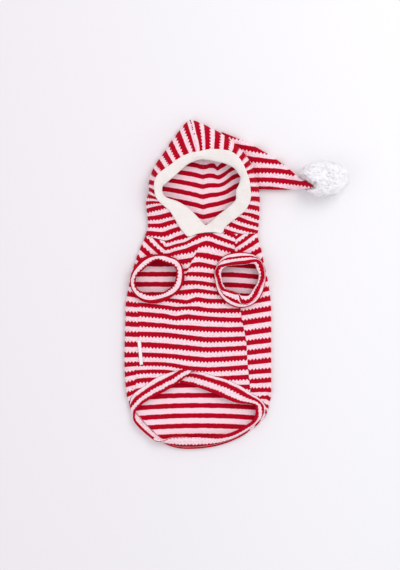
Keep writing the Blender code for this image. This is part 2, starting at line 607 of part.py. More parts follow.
def armhole_cutter(armhole, collection):
    bm = bmesh.new()
    rim = []
    for step in range(ARMHOLE_STEPS):
        angle = 360 * step / ARMHOLE_STEPS
        reach = armhole_at(armhole, angle).seam
        x = armhole.x + reach * math.cos(math.radians(angle))
        y = armhole.y + reach * math.sin(math.radians(angle))
        rim.append(bm.verts.new((x, y, CUTTER_FROM)))
    floor = bm.faces.new(rim)
    grown = bmesh.ops.extrude_face_region(bm, geom=[floor])
    lifted = [item for item in grown["geom"] if isinstance(item, bmesh.types.BMVert)]
    bmesh.ops.translate(bm, verts=lifted, vec=(0, 0, CUTTER_TO - CUTTER_FROM))
    bmesh.ops.recalc_face_normals(bm, faces=bm.faces)
    cutter = new_object(f"armhole_cutter_{armhole.name}", bm, None, collection)
    cutter.hide_render = True
    cutter.display_type = "WIRE"
    return cutter


def armhole_section(row, base):
    """The standing band's section, as distances from the armhole's centre and heights."""
    seam, edge, top = row.seam - SEAM_GAP, row.edge, base + row.stand
    inner = seam - BAND_WALL
    bulge = seam + BAND_BULGE
    return (
        (seam, base - WALL),
        (seam, base),
        (bulge, base + WALL),
        (bulge, base + row.stand * 0.60),
        (mix(seam, edge, 0.45), base + row.stand * 0.94),
        (mix(seam, edge, 0.82), top),
        (edge, top - BAND_ROUND),
        (edge + BAND_ROUND, top - 2 * BAND_ROUND),
        (inner, base + row.stand * 0.28),
        (inner, base - WALL),
    )


def build_armhole_band(armhole, material, collection):
    rings = []
    for step in range(ARMHOLE_STEPS):
        angle = 360 * step / ARMHOLE_STEPS
        row = armhole_at(armhole, angle)
        outward = Vector((math.cos(math.radians(angle)), math.sin(math.radians(angle))))
        seam = Vector((armhole.x, armhole.y)) + outward * row.seam
        base = top_height(seam.x, seam.y)
        rings.append(
            [
                (armhole.x + outward.x * reach, armhole.y + outward.y * reach, height)
                for reach, height in armhole_section(row, base)
            ]
        )
    name = f"armhole_band_{armhole.name}"
    return loft_object(name, rings, material, collection, closed=True)


def back_columns():
    """The back panel's columns from its right seam round under the garment to its left one."""
    columns = [
        back_column(section, place) for section, place in zip(back_sections(), BACK_HEM_ROWS)
    ]
    return columns[::-1]


def build_back_panel(material, collection, cutters):
    panel = sheet_object("back_panel", back_columns(), material, collection)
    add_wall(panel, WALL)
    cut_away(panel, cutters)




def belly_columns():
    left, right = belly_hem_places()
    ends = [hem_seam(place) for place in left]
    ends.append(ends[-1].lerp(hem_seam(right[0]), 0.5))
    ends += [hem_seam(place) for place in right]
    return [belly_column(end) for end in ends]


def build_belly_panel(material, collection, cutters):
    panel = sheet_object("belly_panel", belly_columns(), material, collection)
    add_wall(panel, WALL)
    cut_away(panel, cutters)


def hood_columns(rows, clear):
    return [
        [hood_point(rows, index, kind, share, clear) for index in range(len(rows))]
        for kind, share in hood_column_shares()
    ]


def build_hood_half(name, rows, side, material, collection):
    clear = Vector((side * SEAM_GAP / 2, 0, 0))
    columns = hood_columns(rows, clear)
    if side > 0:
        columns.reverse()
    half = sheet_object(name, columns, material, collection)
    add_wall(half, WALL)
    return half


def peak_cutter(collection):
    """The left half's last rows, thicker and across the seam, which the right half stops at."""
    clear = Vector((SEAM_GAP / 2, 0, 0))
    columns = [column[-PEAK_CUT_ROWS:] for column in hood_columns(HOOD_LEFT, clear)]
    cutter = sheet_object("peak_cutter", columns, None, collection)
    add_wall(cutter, WALL + PEAK_CUT_DEEPER)
    cutter.hide_render = True
    cutter.display_type = "WIRE"
    return cutter


def trim_stations():
    """The trim's sections, once round the face from the peak down the left side."""
    left = [TrimRow(*row[3:]) for row in reversed(HOOD_LEFT)]
    right = [TrimRow(*row[3:]) for row in HOOD_RIGHT[:-1]]
    return left + list(TRIM_FOOT) + right


def trim_section(row):
    rim = Vector((row.rim_x, row.rim_y, row.rim_z - WALL / 2))
    face = Vector((row.face_x, row.face_y, row.rim_z - TRIM_THICKNESS * TRIM_DROOP))
    inward = (face - rim).normalized()
    steep = 1 - smoothstep((row.rim_z - TRIM_FOOT[0].rim_z) / TRIM_STEEP_RISE)
    rim += inward * mix(2 * SEAM_GAP, TRIM_FOOT_GAP, steep)
    centre = rim.lerp(face, 0.5)
    half = (face - rim).length / 2
    points = []
    for step in range(TRIM_POINTS):
        angle = 2 * math.pi * step / TRIM_POINTS
        swell = math.copysign(abs(math.sin(angle)) ** TRIM_ROUND, math.sin(angle))
        point = centre - inward * half * math.cos(angle)
        points.append(point + Vector((0, 0, swell * TRIM_THICKNESS / 2)))
    return points


def build_face_trim(material, collection):
    rings = [trim_section(row) for row in trim_stations()]
    return loft_object("face_trim", rings, material, collection, closed=True)


def panel_ways():
    """The way the cloth runs at the hem seam, for each place of the loop that a column ends at."""
    left, right = belly_hem_places()
    belly = belly_columns()
    columns = list(zip(BACK_HEM_ROWS, back_columns()[::-1]))
    columns += list(zip(left, belly)) + list(zip(right[::-1], belly[::-1]))
    return {place: column[-1] - column[-2] for place, column in columns}


def hem_band_places():
    left, right = belly_hem_places()
    before = [step / BELLY_HEM_STEPS for step in range(PEAK_ROWS[0] * BELLY_HEM_STEPS)]
    last = len(HEM_LOOP) - 1
    steps = (last - PEAK_ROWS[1]) * BELLY_HEM_STEPS
    after = [PEAK_ROWS[1] + step / BELLY_HEM_STEPS for step in range(1, steps + 1)]
    return before + left[::-1] + list(BACK_HEM_ROWS[1:-1]) + right[::-1] + after


def hem_band_section(place, way, panel_way):
    """The folded band between its seam and its free edge, at this place of the loop.

    way is the direction along the hem, and panel_way the cloth's own direction at the seam.
    """
    row = between(HEM_LOOP, place)
    seam = Vector((row.seam_x, row.seam_y, max(row.seam_z, 0.0)))
    edge = Vector((row.edge_x, row.edge_y, row.edge_z))
    across = (edge - seam).normalized()
    width = (edge - seam).length
    out = way.cross(across).normalized()
    panel_inward = panel_way.cross(way).normalized()
    pinch = math.exp(-(((place - HEM_PINCH.place) / HEM_PINCH.reach) ** 2))
    inner = 1 - HEM_PINCH.share * pinch
    start = 2 * SEAM_GAP + HEM_PINCH.start * pinch
    inner_start = start + HEM_CORNER * WALL * max(panel_inward.dot(across), 0.0)
    thick, swell = HEM_BAND_THIN, HEM_BAND_SWELL
    section = (
        (inner_start, -WALL * inner),
        (start, 0.0),
        (0.25 * width, swell),
        (0.75 * width, swell),
        (width - swell / 2, 0.0),
        (width, -thick / 3),
        (width - swell / 2, swell - thick),
        (0.75 * width, -thick),
        (max(0.25 * width, inner_start + swell), -thick * inner),
    )
    points = [seam + across * along + out * height for along, height in section]
    for point in points:
        point.z = max(point.z, 0.0)
    return points


def build_hem_band(material, collection):
    places = hem_band_places()
    ways = panel_ways()
    rows = [between(HEM_LOOP, place) for place in places]
    rings = []
    for i, row in enumerate(rows):
        before, after = rows[max(i - 1, 0)], rows[min(i + 1, len(rows) - 1)]
        way = Vector(
            (
                after.seam_x - before.seam_x + after.edge_x - before.edge_x,
                after.seam_y - before.seam_y + after.edge_y - before.edge_y,
                after.seam_z - before.seam_z + after.edge_z - before.edge_z,
            )
        )
        nearest = min(ways, key=lambda place: abs(place - places[i]))
        rings.append(hem_band_section(places[i], way, ways[nearest]))
    return loft_object("hem_band", rings, material, collection, closed=False)


def tail_base(across):
    """A point beside the hood's right side, from the tail's upper edge to its lower one."""
    place = mix(TAIL_ON_HOOD[0], TAIL_ON_HOOD[1], across)
    row = between(HOOD_RIGHT, place)
    before, after = between(HOOD_RIGHT, place - 0.1), between(HOOD_RIGHT, place + 0.1)
    way = Vector((after.side_x - before.side_x, after.side_y - before.side_y)).normalized()
    return Vector((row.side_x + way.y * TAIL_GAP, row.side_y - way.x * TAIL_GAP))


def tail_ring(share):
    row = between(TAIL_ROWS, share * (len(TAIL_ROWS) - 1))
    first = TAIL_ROWS[0]
    middle = (row.top + row.bottom) / 2
    points = []
    for step in range(TAIL_POINTS):
        angle = 2 * math.pi * step / TAIL_POINTS
        wide, high = math.cos(angle), math.sin(angle)
        across = 0.5 - 0.5 * math.copysign(abs(wide) ** TAIL_ROUND, wide)
        upper = Vector((row.upper_x, row.upper_y))
        lower = Vector((row.lower_x, row.lower_y))
        place = upper.lerp(lower, across)
        upper = Vector((first.upper_x, first.upper_y))
        lower = Vector((first.lower_x, first.lower_y))
        straight = upper.lerp(lower, across)
        place += (tail_base(across) - straight) * (1 - share) ** 2
        rise = abs(high) ** (TAIL_ROUND_TOP if high > 0 else TAIL_ROUND_UNDER)
        height = mix(middle, row.top if high > 0 else row.bottom, rise)
        points.append(Vector((place.x, place.y, max(height, 0.0))))
    return points


def build_tail(material, collection):
    """A flattened cone of cloth, open where it meets the hood and closed at its tip."""
    bm = bmesh.new()
    loops = [
        [bm.verts.new(point) for point in tail_ring(step / TAIL_SECTIONS)]
        for step in range(TAIL_SECTIONS + 1)
    ]
    for first, second in zip(loops, loops[1:]):
        for i in range(TAIL_POINTS):
            j = (i + 1) % TAIL_POINTS
            bm.faces.new((first[i], first[j], second[j], second[i]))
    bm.faces.new(loops[-1])
    bmesh.ops.recalc_face_normals(bm, faces=bm.faces)
    tail = new_object("hood_tail", bm, material, collection)
    add_wall(tail, TAIL_WALL)


def build_pompom(material, collection):
    """A ball with a lock of yarn standing on three faces of every four."""
    bm = bmesh.new()
    bmesh.ops.create_icosphere(bm, subdivisions=3, radius=1)
    tip = TAIL_ROWS[-1]
    to_tail = Vector((tip.upper_x, tip.lower_y, tip.top)) - Vector(POMPOM_CENTRE)
    to_tail.normalize()
    bm.faces.ensure_lookup_table()
    ways = {face.index: face.calc_center_median().normalized() for face in bm.faces}
    bmesh.ops.scale(bm, vec=POMPOM_BALL, verts=bm.verts)
    bmesh.ops.translate(bm, vec=POMPOM_CENTRE, verts=bm.verts)
    chosen = [
        face
        for face in bm.faces
        if face.index % POMPOM_BARE_STEP and ways[face.index].dot(to_tail) < POMPOM_BARE_COSINE
    ]
    order = [face.index for face in chosen]
    bmesh.ops.inset_individual(bm, faces=chosen, thickness=POMPOM_LOCK_ROOT)
    for index, face in zip(order, chosen):
        way = ways[index]
        uneven = 1 - POMPOM_UNEVEN * (1 - math.sin(index * POMPOM_TURN))
        tip_at = Vector(
            centre + part * reach * uneven
            for centre, part, reach in zip(POMPOM_CENTRE, way, POMPOM_REACH)
        )
        tip_at.z = max(tip_at.z, POMPOM_FLOOR)
        centre = bmesh.ops.poke(bm, faces=[face])["verts"][0]
        centre.co = tip_at
    bmesh.ops.recalc_face_normals(bm, faces=bm.faces)
    return new_object("pompom", bm, material, collection)


def build_side_label(material, collection):
    """A blank woven tab caught in the left side seam, lying on the belly."""
    top, bottom = Vector(LABEL_TOP), Vector(LABEL_BOTTOM)
    along = (bottom - top).normalized()
    aside = Vector((-along.y, along.x)) * (LABEL_WIDTH / 2)
    columns = []
    for side in (-1, 0, 1):
        column = []
        for step in range(LABEL_STEPS + 1):
            place = top.lerp(bottom, step / LABEL_STEPS) + aside * side
            height = top_height(place.x, place.y) + LABEL_CLEARANCE + LABEL_THICKNESS
            column.append(Vector((place.x, place.y, height)))
        columns.append(column)
    label = sheet_object("side_label", columns, material, collection)
    add_wall(label, LABEL_THICKNESS)


def clear_scene():
    for obj in list(bpy.data.objects):
        bpy.data.objects.remove(obj, do_unlink=True)


def new_collection(name):
    collection = bpy.data.collections.new(name)
    bpy.context.scene.collection.children.link(collection)
    return collection


def main():
    clear_scene()
    garment = new_collection("dog_sweatshirt")
    cutter_box = new_collection("cutters")
    cutter_box.hide_render = True
    knit = material_of("striped_knit", RED_KNIT)
    fleece = material_of("cream_fleece", FLEECE)
    yarn = material_of("pompom_yarn", YARN)
    tape = material_of("label_tape", TAPE)
    cutters = [armhole_cutter(armhole, cutter_box) for armhole in ARMHOLES]
    build_back_panel(knit, garment, cutters)
    build_belly_panel(knit, garment, cutters)
    build_hood_half("hood_left", HOOD_LEFT, -1, knit, garment)
    right = build_hood_half("hood_right", HOOD_RIGHT, 1, knit, garment)
    cut_away(right, [peak_cutter(cutter_box)])
    build_face_trim(fleece, garment)
    for armhole in ARMHOLES:
        build_armhole_band(armhole, knit, garment)
    build_hem_band(knit, garment)
    build_tail(knit, garment)
    build_pompom(yarn, garment)
    build_side_label(tape, garment)


main()
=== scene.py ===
"""The look of a hooded, sleeveless dog sweatshirt in striped knit, laid flat with its belly up.

Each cut piece of the garment is a class that builds its cloth and dresses it. Sizes are in
metres, and places of the larger tables in tenths of a millimetre. Stripes are written on the
garment's plan, in steps right and down from its corner, so that each is one row of numbers.
"""

from __future__ import annotations

import logging
import math
from bisect import bisect_right
from dataclasses import dataclass, field
from enum import Enum
from typing import Callable, NamedTuple, Sequence

import bmesh
import bpy
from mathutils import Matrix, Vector, noise


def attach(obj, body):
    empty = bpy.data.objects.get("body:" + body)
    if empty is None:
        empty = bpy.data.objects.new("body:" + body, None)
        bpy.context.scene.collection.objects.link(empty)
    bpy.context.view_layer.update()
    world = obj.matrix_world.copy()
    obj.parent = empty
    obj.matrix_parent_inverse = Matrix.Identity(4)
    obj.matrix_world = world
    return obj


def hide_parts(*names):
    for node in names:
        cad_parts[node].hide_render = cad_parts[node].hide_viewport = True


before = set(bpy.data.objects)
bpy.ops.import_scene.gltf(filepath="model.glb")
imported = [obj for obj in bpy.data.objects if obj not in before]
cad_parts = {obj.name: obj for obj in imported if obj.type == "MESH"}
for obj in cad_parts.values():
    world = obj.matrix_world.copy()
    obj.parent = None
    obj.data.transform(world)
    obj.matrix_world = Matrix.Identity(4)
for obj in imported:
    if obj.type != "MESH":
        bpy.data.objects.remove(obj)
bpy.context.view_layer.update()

LOG = logging.getLogger("dog_sweatshirt")

WALL = 0.0022
SEAM_GAP = 0.00015
CUT_EDGE_ANGLE = 0.8  # radians; a cloth's cut edges are sharper
FOLD_RADIUS = 0.005
SHOULDER = 0.012  # how far in from the side the top layer reaches its height
TOP_HEIGHT = 0.0115
NECK_RISE = (0.0025, -0.043, 0.070, 0.040)  # height, place and reach of the swell at the neck
# How far inside the seam the trim starts: an amount from this height on, over this run
TRIM_SLIM = ((0.0010, 0.09, 0.02), (0.0024, 0.14, 0.03))

PLAN_STEP = 0.0014  # one step of the plan
PLAN_ORIGIN = (236.6, 284.5)
TOOTH = 0.0048  # one tooth of a stripe's scalloped edge
STRIPE = 0.0140  # from one red stripe to the next, where no table gives it


class BodyRow(NamedTuple):
    """The body's flat width at one height: its silhouette, and the side seams on the belly."""

    y: float
    left: float
    right: float
    seam_left: float
    seam_right: float


class NeckRow(NamedTuple):
    """One point of a neckline."""

    x: float
    y: float


class Fold(NamedTuple):
    """A soft ridge or hollow of the top layer, from one end to the other."""

    x0: float
    y0: float
    x1: float
    y1: float
    rise: float
    reach: float


class HemRow(NamedTuple):
    """The hem at one place: the panel's face at the seam, the band's free edge, the roll."""

    seam_x: float
    seam_y: float
    seam_z: float
    edge_x: float
    edge_y: float
    edge_z: float
    flare: float


class HoodRow(NamedTuple):
    """One run of the hood's cloth, from the centre back seam over the side to the face."""

    back_y: float
    side_x: float
    side_y: float
    rim_x: float
    rim_y: float
    rim_z: float
    face_x: float
    face_y: float


class TrimRow(NamedTuple):
    """One place of the face trim: its seam and its inner edge."""

    rim_x: float
    rim_y: float
    rim_z: float
    face_x: float
    face_y: float


class LeftBandRow(NamedTuple):
    """The left armhole's band at one angle: where its colours start, in plan steps out."""

    angle: float
    outer: float
    white: float
    fringe: float


class RightBandRow(NamedTuple):
    """The right armhole's band at one angle: where its colours start, in plan steps out."""

    angle: float
    outer: float
    thin: float
    white: float
    red: float
    inner: float
    edge: float


class TailRow(NamedTuple):
    """One section of the hood's tail."""

    upper_x: float
    upper_y: float
    lower_x: float
    lower_y: float
    bottom: float
    top: float


class TrimPoint(NamedTuple):
    """A point of the trim's section: a share of its width, and how far in and up from there."""

    share: float
    inset: float
    rise: float


class SectionPoint(NamedTuple):
    """A point of a band's section, as two distances."""

    across: float
    height: float


def table(kind: type, *rows: Sequence[float], unit: float = 10000) -> tuple:
    """Rows of one kind, from numbers in tenths of a millimetre or in another part of a unit."""
    return tuple(kind(*(value / unit for value in row)) for row in rows)


BODY_ROWS = table(
    BodyRow,
    (790, -1245, 295, -975, -10), (680, -1275, 295, -980, -15), (580, -1315, 320, -990, -20),
    (470, -1365, 350, -1000, -25), (285, -1430, 385, -1095, 5), (65, -1490, 435, -1210, 40),
    (-260, -1550, 480, -1375, 50), (-470, -1555, 485, -1380, 70), (-775, -1565, 485, -1380, 130),
    (-1055, -1570, 485, -1390, 150), (-1335, -1560, 485, -1405, 175),
    (-1520, -1540, 485, -1410, 195), (-1755, -1515, 480, -1410, 215),
    (-2315, -1490, 470, -1395, 230),
)
NECK_TOP = table(
    NeckRow,
    (-1310, 695), (-1140, 650), (-990, 615), (-820, 645), (-675, 665), (-545, 700), (-430, 720),
    (-325, 720), (-205, 720), (-15, 710), (130, 710), (330, 715),
)
NECK_UNDER = table(
    NeckRow,
    (-1310, 680), (-470, 680), (330, 715),
)
FOLDS = table(
    Fold,
    (-525, 475, -665, 175, 30, 85),  # chest tuck
    (-700, 420, -800, 200, -14, 80),  # chest hollow
    (-700, -200, -840, -480, 16, 80),  # belly pleat
    (-1240, 620, -990, 440, 14, 75),  # shoulder ridge
    (-720, -1140, -1200, -930, 14, 100),  # hem ridge
    (80, -330, 130, -900, 10, 90),  # side ridge
)
HEM_LOOP = table(
    HemRow,
    (-640, -1195, 160, -637, -1226, 160, 0), (-700, -1185, 154, -699, -1277, 158, 0),
    (-785, -1190, 140, -767, -1334, 148, 0), (-905, -1220, 126, -860, -1402, 134, 0),
    (-1030, -1260, 118, -995, -1490, 126, 0), (-1150, -1320, 114, -1120, -1550, 121, 0),
    (-1260, -1395, 110, -1220, -1605, 118, 0), (-1360, -1465, 108, -1305, -1660, 116, 0),
    (-1410, -1500, 104, -1335, -1690, 114, 0), (-1450, -1540, 94, -1365, -1720, 110, 0),
    (-1485, -1595, 80, -1400, -1755, 106, 0), (-1505, -1655, 55, -1425, -1790, 100, 0),
    (-1490, -1705, 24, -1440, -1840, 94, 0), (-1440, -1755, 4, -1445, -1890, 86, 0),
    (-1375, -1825, 0, -1410, -1955, 80, 0), (-1280, -1935, 0, -1335, -2035, 80, 0),
    (-1190, -2035, 0, -1235, -2120, 82, 0), (-1100, -2130, 12, -1125, -2195, 112, 12),
    (-1015, -2205, 38, -1025, -2190, 146, 28), (-905, -2250, 62, -925, -2150, 148, 36),
    (-765, -2275, 70, -775, -2135, 145, 42), (-580, -2275, 70, -580, -2135, 140, 42),
    (-385, -2255, 70, -400, -2130, 140, 42), (-190, -2210, 70, -220, -2110, 143, 42),
    (-10, -2140, 70, -55, -2070, 148, 42), (145, -2050, 70, 90, -2000, 152, 42),
    (270, -1950, 74, 200, -1935, 158, 42), (355, -1860, 80, 255, -1865, 162, 42),
    (400, -1775, 90, 270, -1775, 160, 34), (400, -1700, 102, 260, -1690, 154, 14),
    (355, -1625, 108, 195, -1670, 146, 0), (280, -1565, 110, 120, -1665, 138, 0),
    (195, -1510, 112, 20, -1655, 132, 0), (50, -1415, 114, -120, -1610, 126, 0),
    (-120, -1335, 115, -260, -1545, 120, 0), (-290, -1285, 114, -400, -1490, 114, 0),
    (-470, -1230, 106, -540, -1440, 100, 0), (-610, -1210, 88, -650, -1405, 82, 0),
    (-750, -1225, 72, -795, -1375, 70, 0),
)
HOOD_PEAK = (2225, -650, 2305, -565, 1870, 250, -525, 1735)
HOOD_LEFT = table(
    HoodRow,
    (680, -1280, 680, -675, 670, 140, -470, 845), (750, -1250, 765, -760, 750, 150, -525, 910),
    (835, -1240, 840, -820, 840, 165, -590, 980), (915, -1245, 925, -870, 930, 185, -650, 1040),
    (1000, -1255, 1015, -930, 1020, 210, -735, 1110),
    (1085, -1265, 1105, -1015, 1095, 230, -840, 1165),
    (1170, -1265, 1185, -1085, 1160, 250, -955, 1205),
    (1240, -1235, 1260, -1130, 1230, 260, -1010, 1240),
    (1315, -1225, 1315, -1145, 1310, 270, -1035, 1300),
    (1400, -1230, 1400, -1150, 1395, 275, -1030, 1365),
    (1490, -1210, 1490, -1130, 1490, 280, -985, 1405),
    (1580, -1180, 1590, -1085, 1560, 280, -940, 1445),
    (1675, -1135, 1675, -1015, 1625, 275, -875, 1500),
    (1765, -1070, 1775, -930, 1690, 270, -815, 1555),
    (1855, -1000, 1865, -840, 1760, 265, -750, 1615),
    (1945, -930, 1980, -745, 1815, 260, -685, 1670),
    (2030, -855, 2080, -675, 1845, 255, -630, 1700),
    (2115, -780, 2180, -615, 1860, 250, -580, 1720),
    (2185, -715, 2255, -580, 1870, 250, -545, 1730),
    HOOD_PEAK,
)
HOOD_RIGHT = table(
    HoodRow,
    (680, 295, 715, -205, 720, 140, -390, 845), (765, 305, 790, -170, 790, 150, -345, 880),
    (845, 310, 870, -105, 855, 170, -275, 950), (930, 320, 945, -30, 915, 195, -205, 1005),
    (1015, 320, 1020, 50, 975, 220, -135, 1065), (1100, 320, 1100, 125, 1045, 240, -65, 1125),
    (1185, 325, 1185, 175, 1135, 255, -15, 1185), (1265, 320, 1265, 195, 1225, 265, -15, 1255),
    (1350, 310, 1350, 190, 1325, 275, -10, 1315), (1450, 290, 1450, 180, 1430, 280, 20, 1375),
    (1545, 260, 1545, 155, 1535, 280, 42, 1440), (1640, 220, 1645, 125, 1640, 280, 48, 1495),
    (1730, 175, 1740, 75, 1735, 275, 10, 1552), (1815, 110, 1835, 10, 1815, 270, -35, 1615),
    (1890, 25, 1925, -70, 1870, 265, -115, 1660), (1965, -70, 2010, -160, 1895, 260, -190, 1690),
    (2045, -170, 2085, -265, 1905, 255, -275, 1705),
    (2115, -290, 2155, -380, 1905, 250, -360, 1725),
    (2170, -420, 2220, -475, 1890, 250, -435, 1735),
    (2210, -540, 2275, -530, 1875, 250, -485, 1740),
    HOOD_PEAK,
)
TRIM_FOOT = table(
    TrimRow,
    (-545, 708, 138, -440, 825), (-430, 728, 138, -430, 820), (-325, 728, 138, -420, 825),
)
# The trim's roll, once round
TRIM_SECTION = table(
    TrimPoint,
    (0, 6, -10), (0, 1, 7), (0, -11, 15), (0, -8, 28), (0, 18, 36), (5000, 0, 35),
    (10000, -26, 25), (10000, -3, 9), (10000, -6, -12), (10000, -30, -26), (5000, 0, -30),
    (0, 24, -26),
)
LEFT_ARMHOLE = table(
    LeftBandRow,
    (0, 26.5, 23.5, 18.7), (15, 26.8, 24.8, 20.3), (30, 27.7, 26.1, 21.6), (45, 27.5, 26.0, 21.0),
    (60, 26.0, 24.2, 19.2), (75, 25.1, 23.5, 18.9), (90, 24.7, 22.9, 19.9),
    (105, 25.1, 22.6, 19.0), (120, 25.8, 22.4, 17.9), (135, 26.0, 22.5, 17.9),
    (150, 26.2, 23.3, 18.7), (165, 26.7, 24.9, 21.2), (180, 27.6, 26.5, 23.0),
    (195, 28.2, 27.1, 23.9), (210, 28.0, 26.6, 22.8), (225, 27.5, 25.3, 20.2),
    (240, 26.4, 23.3, 18.3), (255, 25.0, 21.2, 16.7), (270, 23.8, 19.6, 15.5),
    (285, 22.8, 18.9, 15.3), (300, 22.4, 19.3, 15.3), (315, 22.8, 20.5, 15.4),
    (330, 24.0, 21.9, 16.5), (345, 25.2, 22.9, 17.9),
    unit=1,
)
RIGHT_ARMHOLE = table(
    RightBandRow,
    (0, 25.8, 24.8, 24.7, 24.6, 20.3, 18.5), (15, 26.8, 25.9, 25.8, 25.7, 21.8, 19.4),
    (30, 27.9, 27.2, 27.1, 27.0, 22.6, 19.4), (45, 28.4, 27.8, 27.6, 27.0, 23.6, 20.8),
    (60, 28.2, 26.5, 24.9, 22.4, 17.5, 17.4), (75, 27.2, 24.2, 22.1, 18.9, 14.9, 14.8),
    (90, 26.9, 23.0, 20.8, 17.8, 14.2, 14.1), (105, 27.1, 22.9, 20.8, 18.0, 14.4, 14.3),
    (120, 27.6, 24.6, 22.2, 19.0, 15.7, 15.6), (135, 27.4, 25.7, 25.2, 21.4, 18.0, 17.9),
    (150, 26.4, 25.7, 25.6, 25.5, 21.9, 19.4), (165, 26.0, 25.5, 25.4, 25.3, 21.5, 19.0),
    (180, 24.9, 22.7, 22.6, 22.5, 19.0, 17.4), (195, 24.7, 22.1, 22.0, 21.9, 18.4, 17.2),
    (210, 25.3, 22.0, 21.9, 21.4, 17.8, 16.4), (225, 25.9, 22.6, 21.7, 17.8, 15.2, 15.1),
    (240, 26.7, 22.8, 20.3, 16.2, 13.6, 13.5), (255, 27.7, 23.7, 20.5, 15.7, 13.5, 13.4),
    (267, 28.5, 24.6, 21.5, 15.9, 14.1, 14.0), (273, 28.7, 24.7, 24.6, 24.4, 18.4, 15.8),
    (285, 28.5, 26.1, 26.0, 25.9, 21.6, 17.0), (300, 28.3, 25.4, 25.3, 25.2, 21.6, 18.4),
    (315, 27.5, 24.2, 24.1, 24.0, 19.6, 17.0), (330, 26.6, 22.8, 22.7, 22.6, 18.5, 16.8),
    (345, 25.8, 23.0, 22.9, 22.8, 19.2, 17.5),
    unit=1,
)
TAIL_ROWS = table(
    TailRow,
    (-205, 2130, 330, 1345, 0, 70), (30, 2030, 410, 1343, 0, 98), (215, 1940, 520, 1340, 0, 115),
    (410, 1825, 630, 1340, 0, 116), (635, 1675, 760, 1342, 5, 120),
    (845, 1495, 885, 1346, 90, 190), (960, 1420, 970, 1346, 205, 280),
    (1045, 1366, 1045, 1348, 320, 350),
)
# Shares of the hem band's width at its section's corners, past 1 on the inner side
HEM_SHARES = (0.0, 0.25, 0.75, 0.97, 1.0, 1.03, 1.25, 1.75, 1.98, 2.05)
# Shares of the hem band's width at which a stripe's edge lies: on the left arm, at the bottom's
# left, middle and right, and on the right arm; then the edge's mark in the knit
HEM_STRIPES = (
    (0, 0, 0, 0, 0, 0), (0.27, 0.03, 0.02, 0.02, 0.16, 0.16),
    (0.55, 0.11, 0.32, 0.13, 0.45, 0.45), (0.79, 0.93, 0.995, 0.60, 0.77, 0.77),
    (1, 1, 1, 1, 1, 1),
)
# The hem place at which each next share takes over, and the run that it takes
HEM_STRIPE_TURNS = ((10.0, 3.5), (16.3, 1.2), (21.2, 2.5), (26.5, 2.0))
HEM_TWIST = (16.6, 20.5)  # places between which the band's free edge is pale
HEM_FULL = 0.0225  # the band's width on the left arm
HEM_END = (0.0127, 0.0107, 0.0070, 0.0023, 0.0)  # what the left arm's first rows have lost outside
HEM_END_PAINTED_SHADOW = 0.0009  # width of the red line painted along the left arm's slanting end, a painted shadow of that edge
# The band's tight bend at the left corner: place, reach, share of thickness lost, more gap
HEM_PINCH = (11.4, 1.4, 0.80, 0.0022)
LEFT_SEAM_ROW, RIGHT_SEAM_ROW, PEAK_ROW = 8, 32, 36  # rows of the hem loop at the belly's corners
SIDE_SEAM_STEP = 0.04  # rows that each panel keeps off such a corner
# Rows of the hem loop that the back panel's section lines run to
BACK_HEM_ROWS = (
    *(LEFT_SEAM_ROW + SIDE_SEAM_STEP, 8.5, 9.0, 9.5, 10.0, 10.5, 11.0, 11.5, 12.0, 12.5, 13.0),
    *(13.5, 14.5, 16.0, 18.0, 20.0, 21.5, 22.5, 24.0, 25.0, 26.5, 27.5, 28.0, 28.4, 28.8, 29.2),
    *(29.6, 30.0, 30.4, 30.8, 31.2, 31.6, RIGHT_SEAM_ROW - SIDE_SEAM_STEP),
)
# Red stripes across the belly: steps down the plan at each of BELLY_ACROSS
BELLY_ACROSS = (126, 140, 165, 176, 186, 197, 207, 218, 235, 246)
BELLY_STRIPES = (
    (236, 240, 248.5, 245.9, 243.3, 237.6, 234.3, 238.2, 244.1, 248),
    (242, 248, 255.5, 252.7, 249.8, 246.4, 243.4, 246.6, 251.6, 255),
    (252, 256, 264.0, 262.3, 258.6, 255.1, 256.9, 258.9, 262.0, 264),
    (262, 265, 274.0, 271.5, 267.5, 264.6, 265.8, 268.5, 271.0, 272),
    (272, 275, 281.0, 277.5, 274.0, 274.7, 275.3, 276.4, 279.0, 280),
    (281, 283, 288.0, 284.5, 283.0, 282.8, 284.3, 286.5, 288.0, 289),
    (290, 291, 294.5, 293.0, 292.0, 290.8, 291.8, 293.3, 295.0, 296),
    (296, 297, 299.5, 300.8, 302.8, 299.5, 301.0, 301.0, 301.5, 302.5),
    (303.7, 304.7, 307.2, 308.7, 307.6, 308.8, 310.2, 310.8, 310.6, 309.5),
    (313.5, 314.0, 316.2, 318.3, 316.8, 317.6, 318.4, 319.2, 320.0, 320.0),
    (323.2, 324.2, 326.0, 327.2, 328.0, 328.7, 329.2, 329.5, 329.5, 329.0),
    (334.0, 334.0, 334.6, 335.8, 337.2, 338.7, 339.8, 339.7, 339.1, 338.6),
    (343.8, 344.6, 346.1, 347.0, 347.8, 348.8, 349.5, 349.3, 348.5, 347.8),
    (354.7, 354.9, 355.8, 356.6, 357.8, 359.0, 359.8, 359.4, 358.3, 357.6),
    (364.4, 364.0, 364.4, 366.0, 368.1, 369.2, 369.6, 369.2, 368.2, 367.3),
    (374.2, 371.8, 371.3, 372.5, 374.5, 376.5, 377.6, 378.2, 377.7, 377.1),
    (384.5, 380.2, 380.0, 381.5, 384.0, 386.2, 387.0, 387.2, 387.0, 386.8),
    (394.3, 390.5, 389.5, 391.0, 393.5, 395.7, 396.5, 396.7, 396.6, 396.3),
)
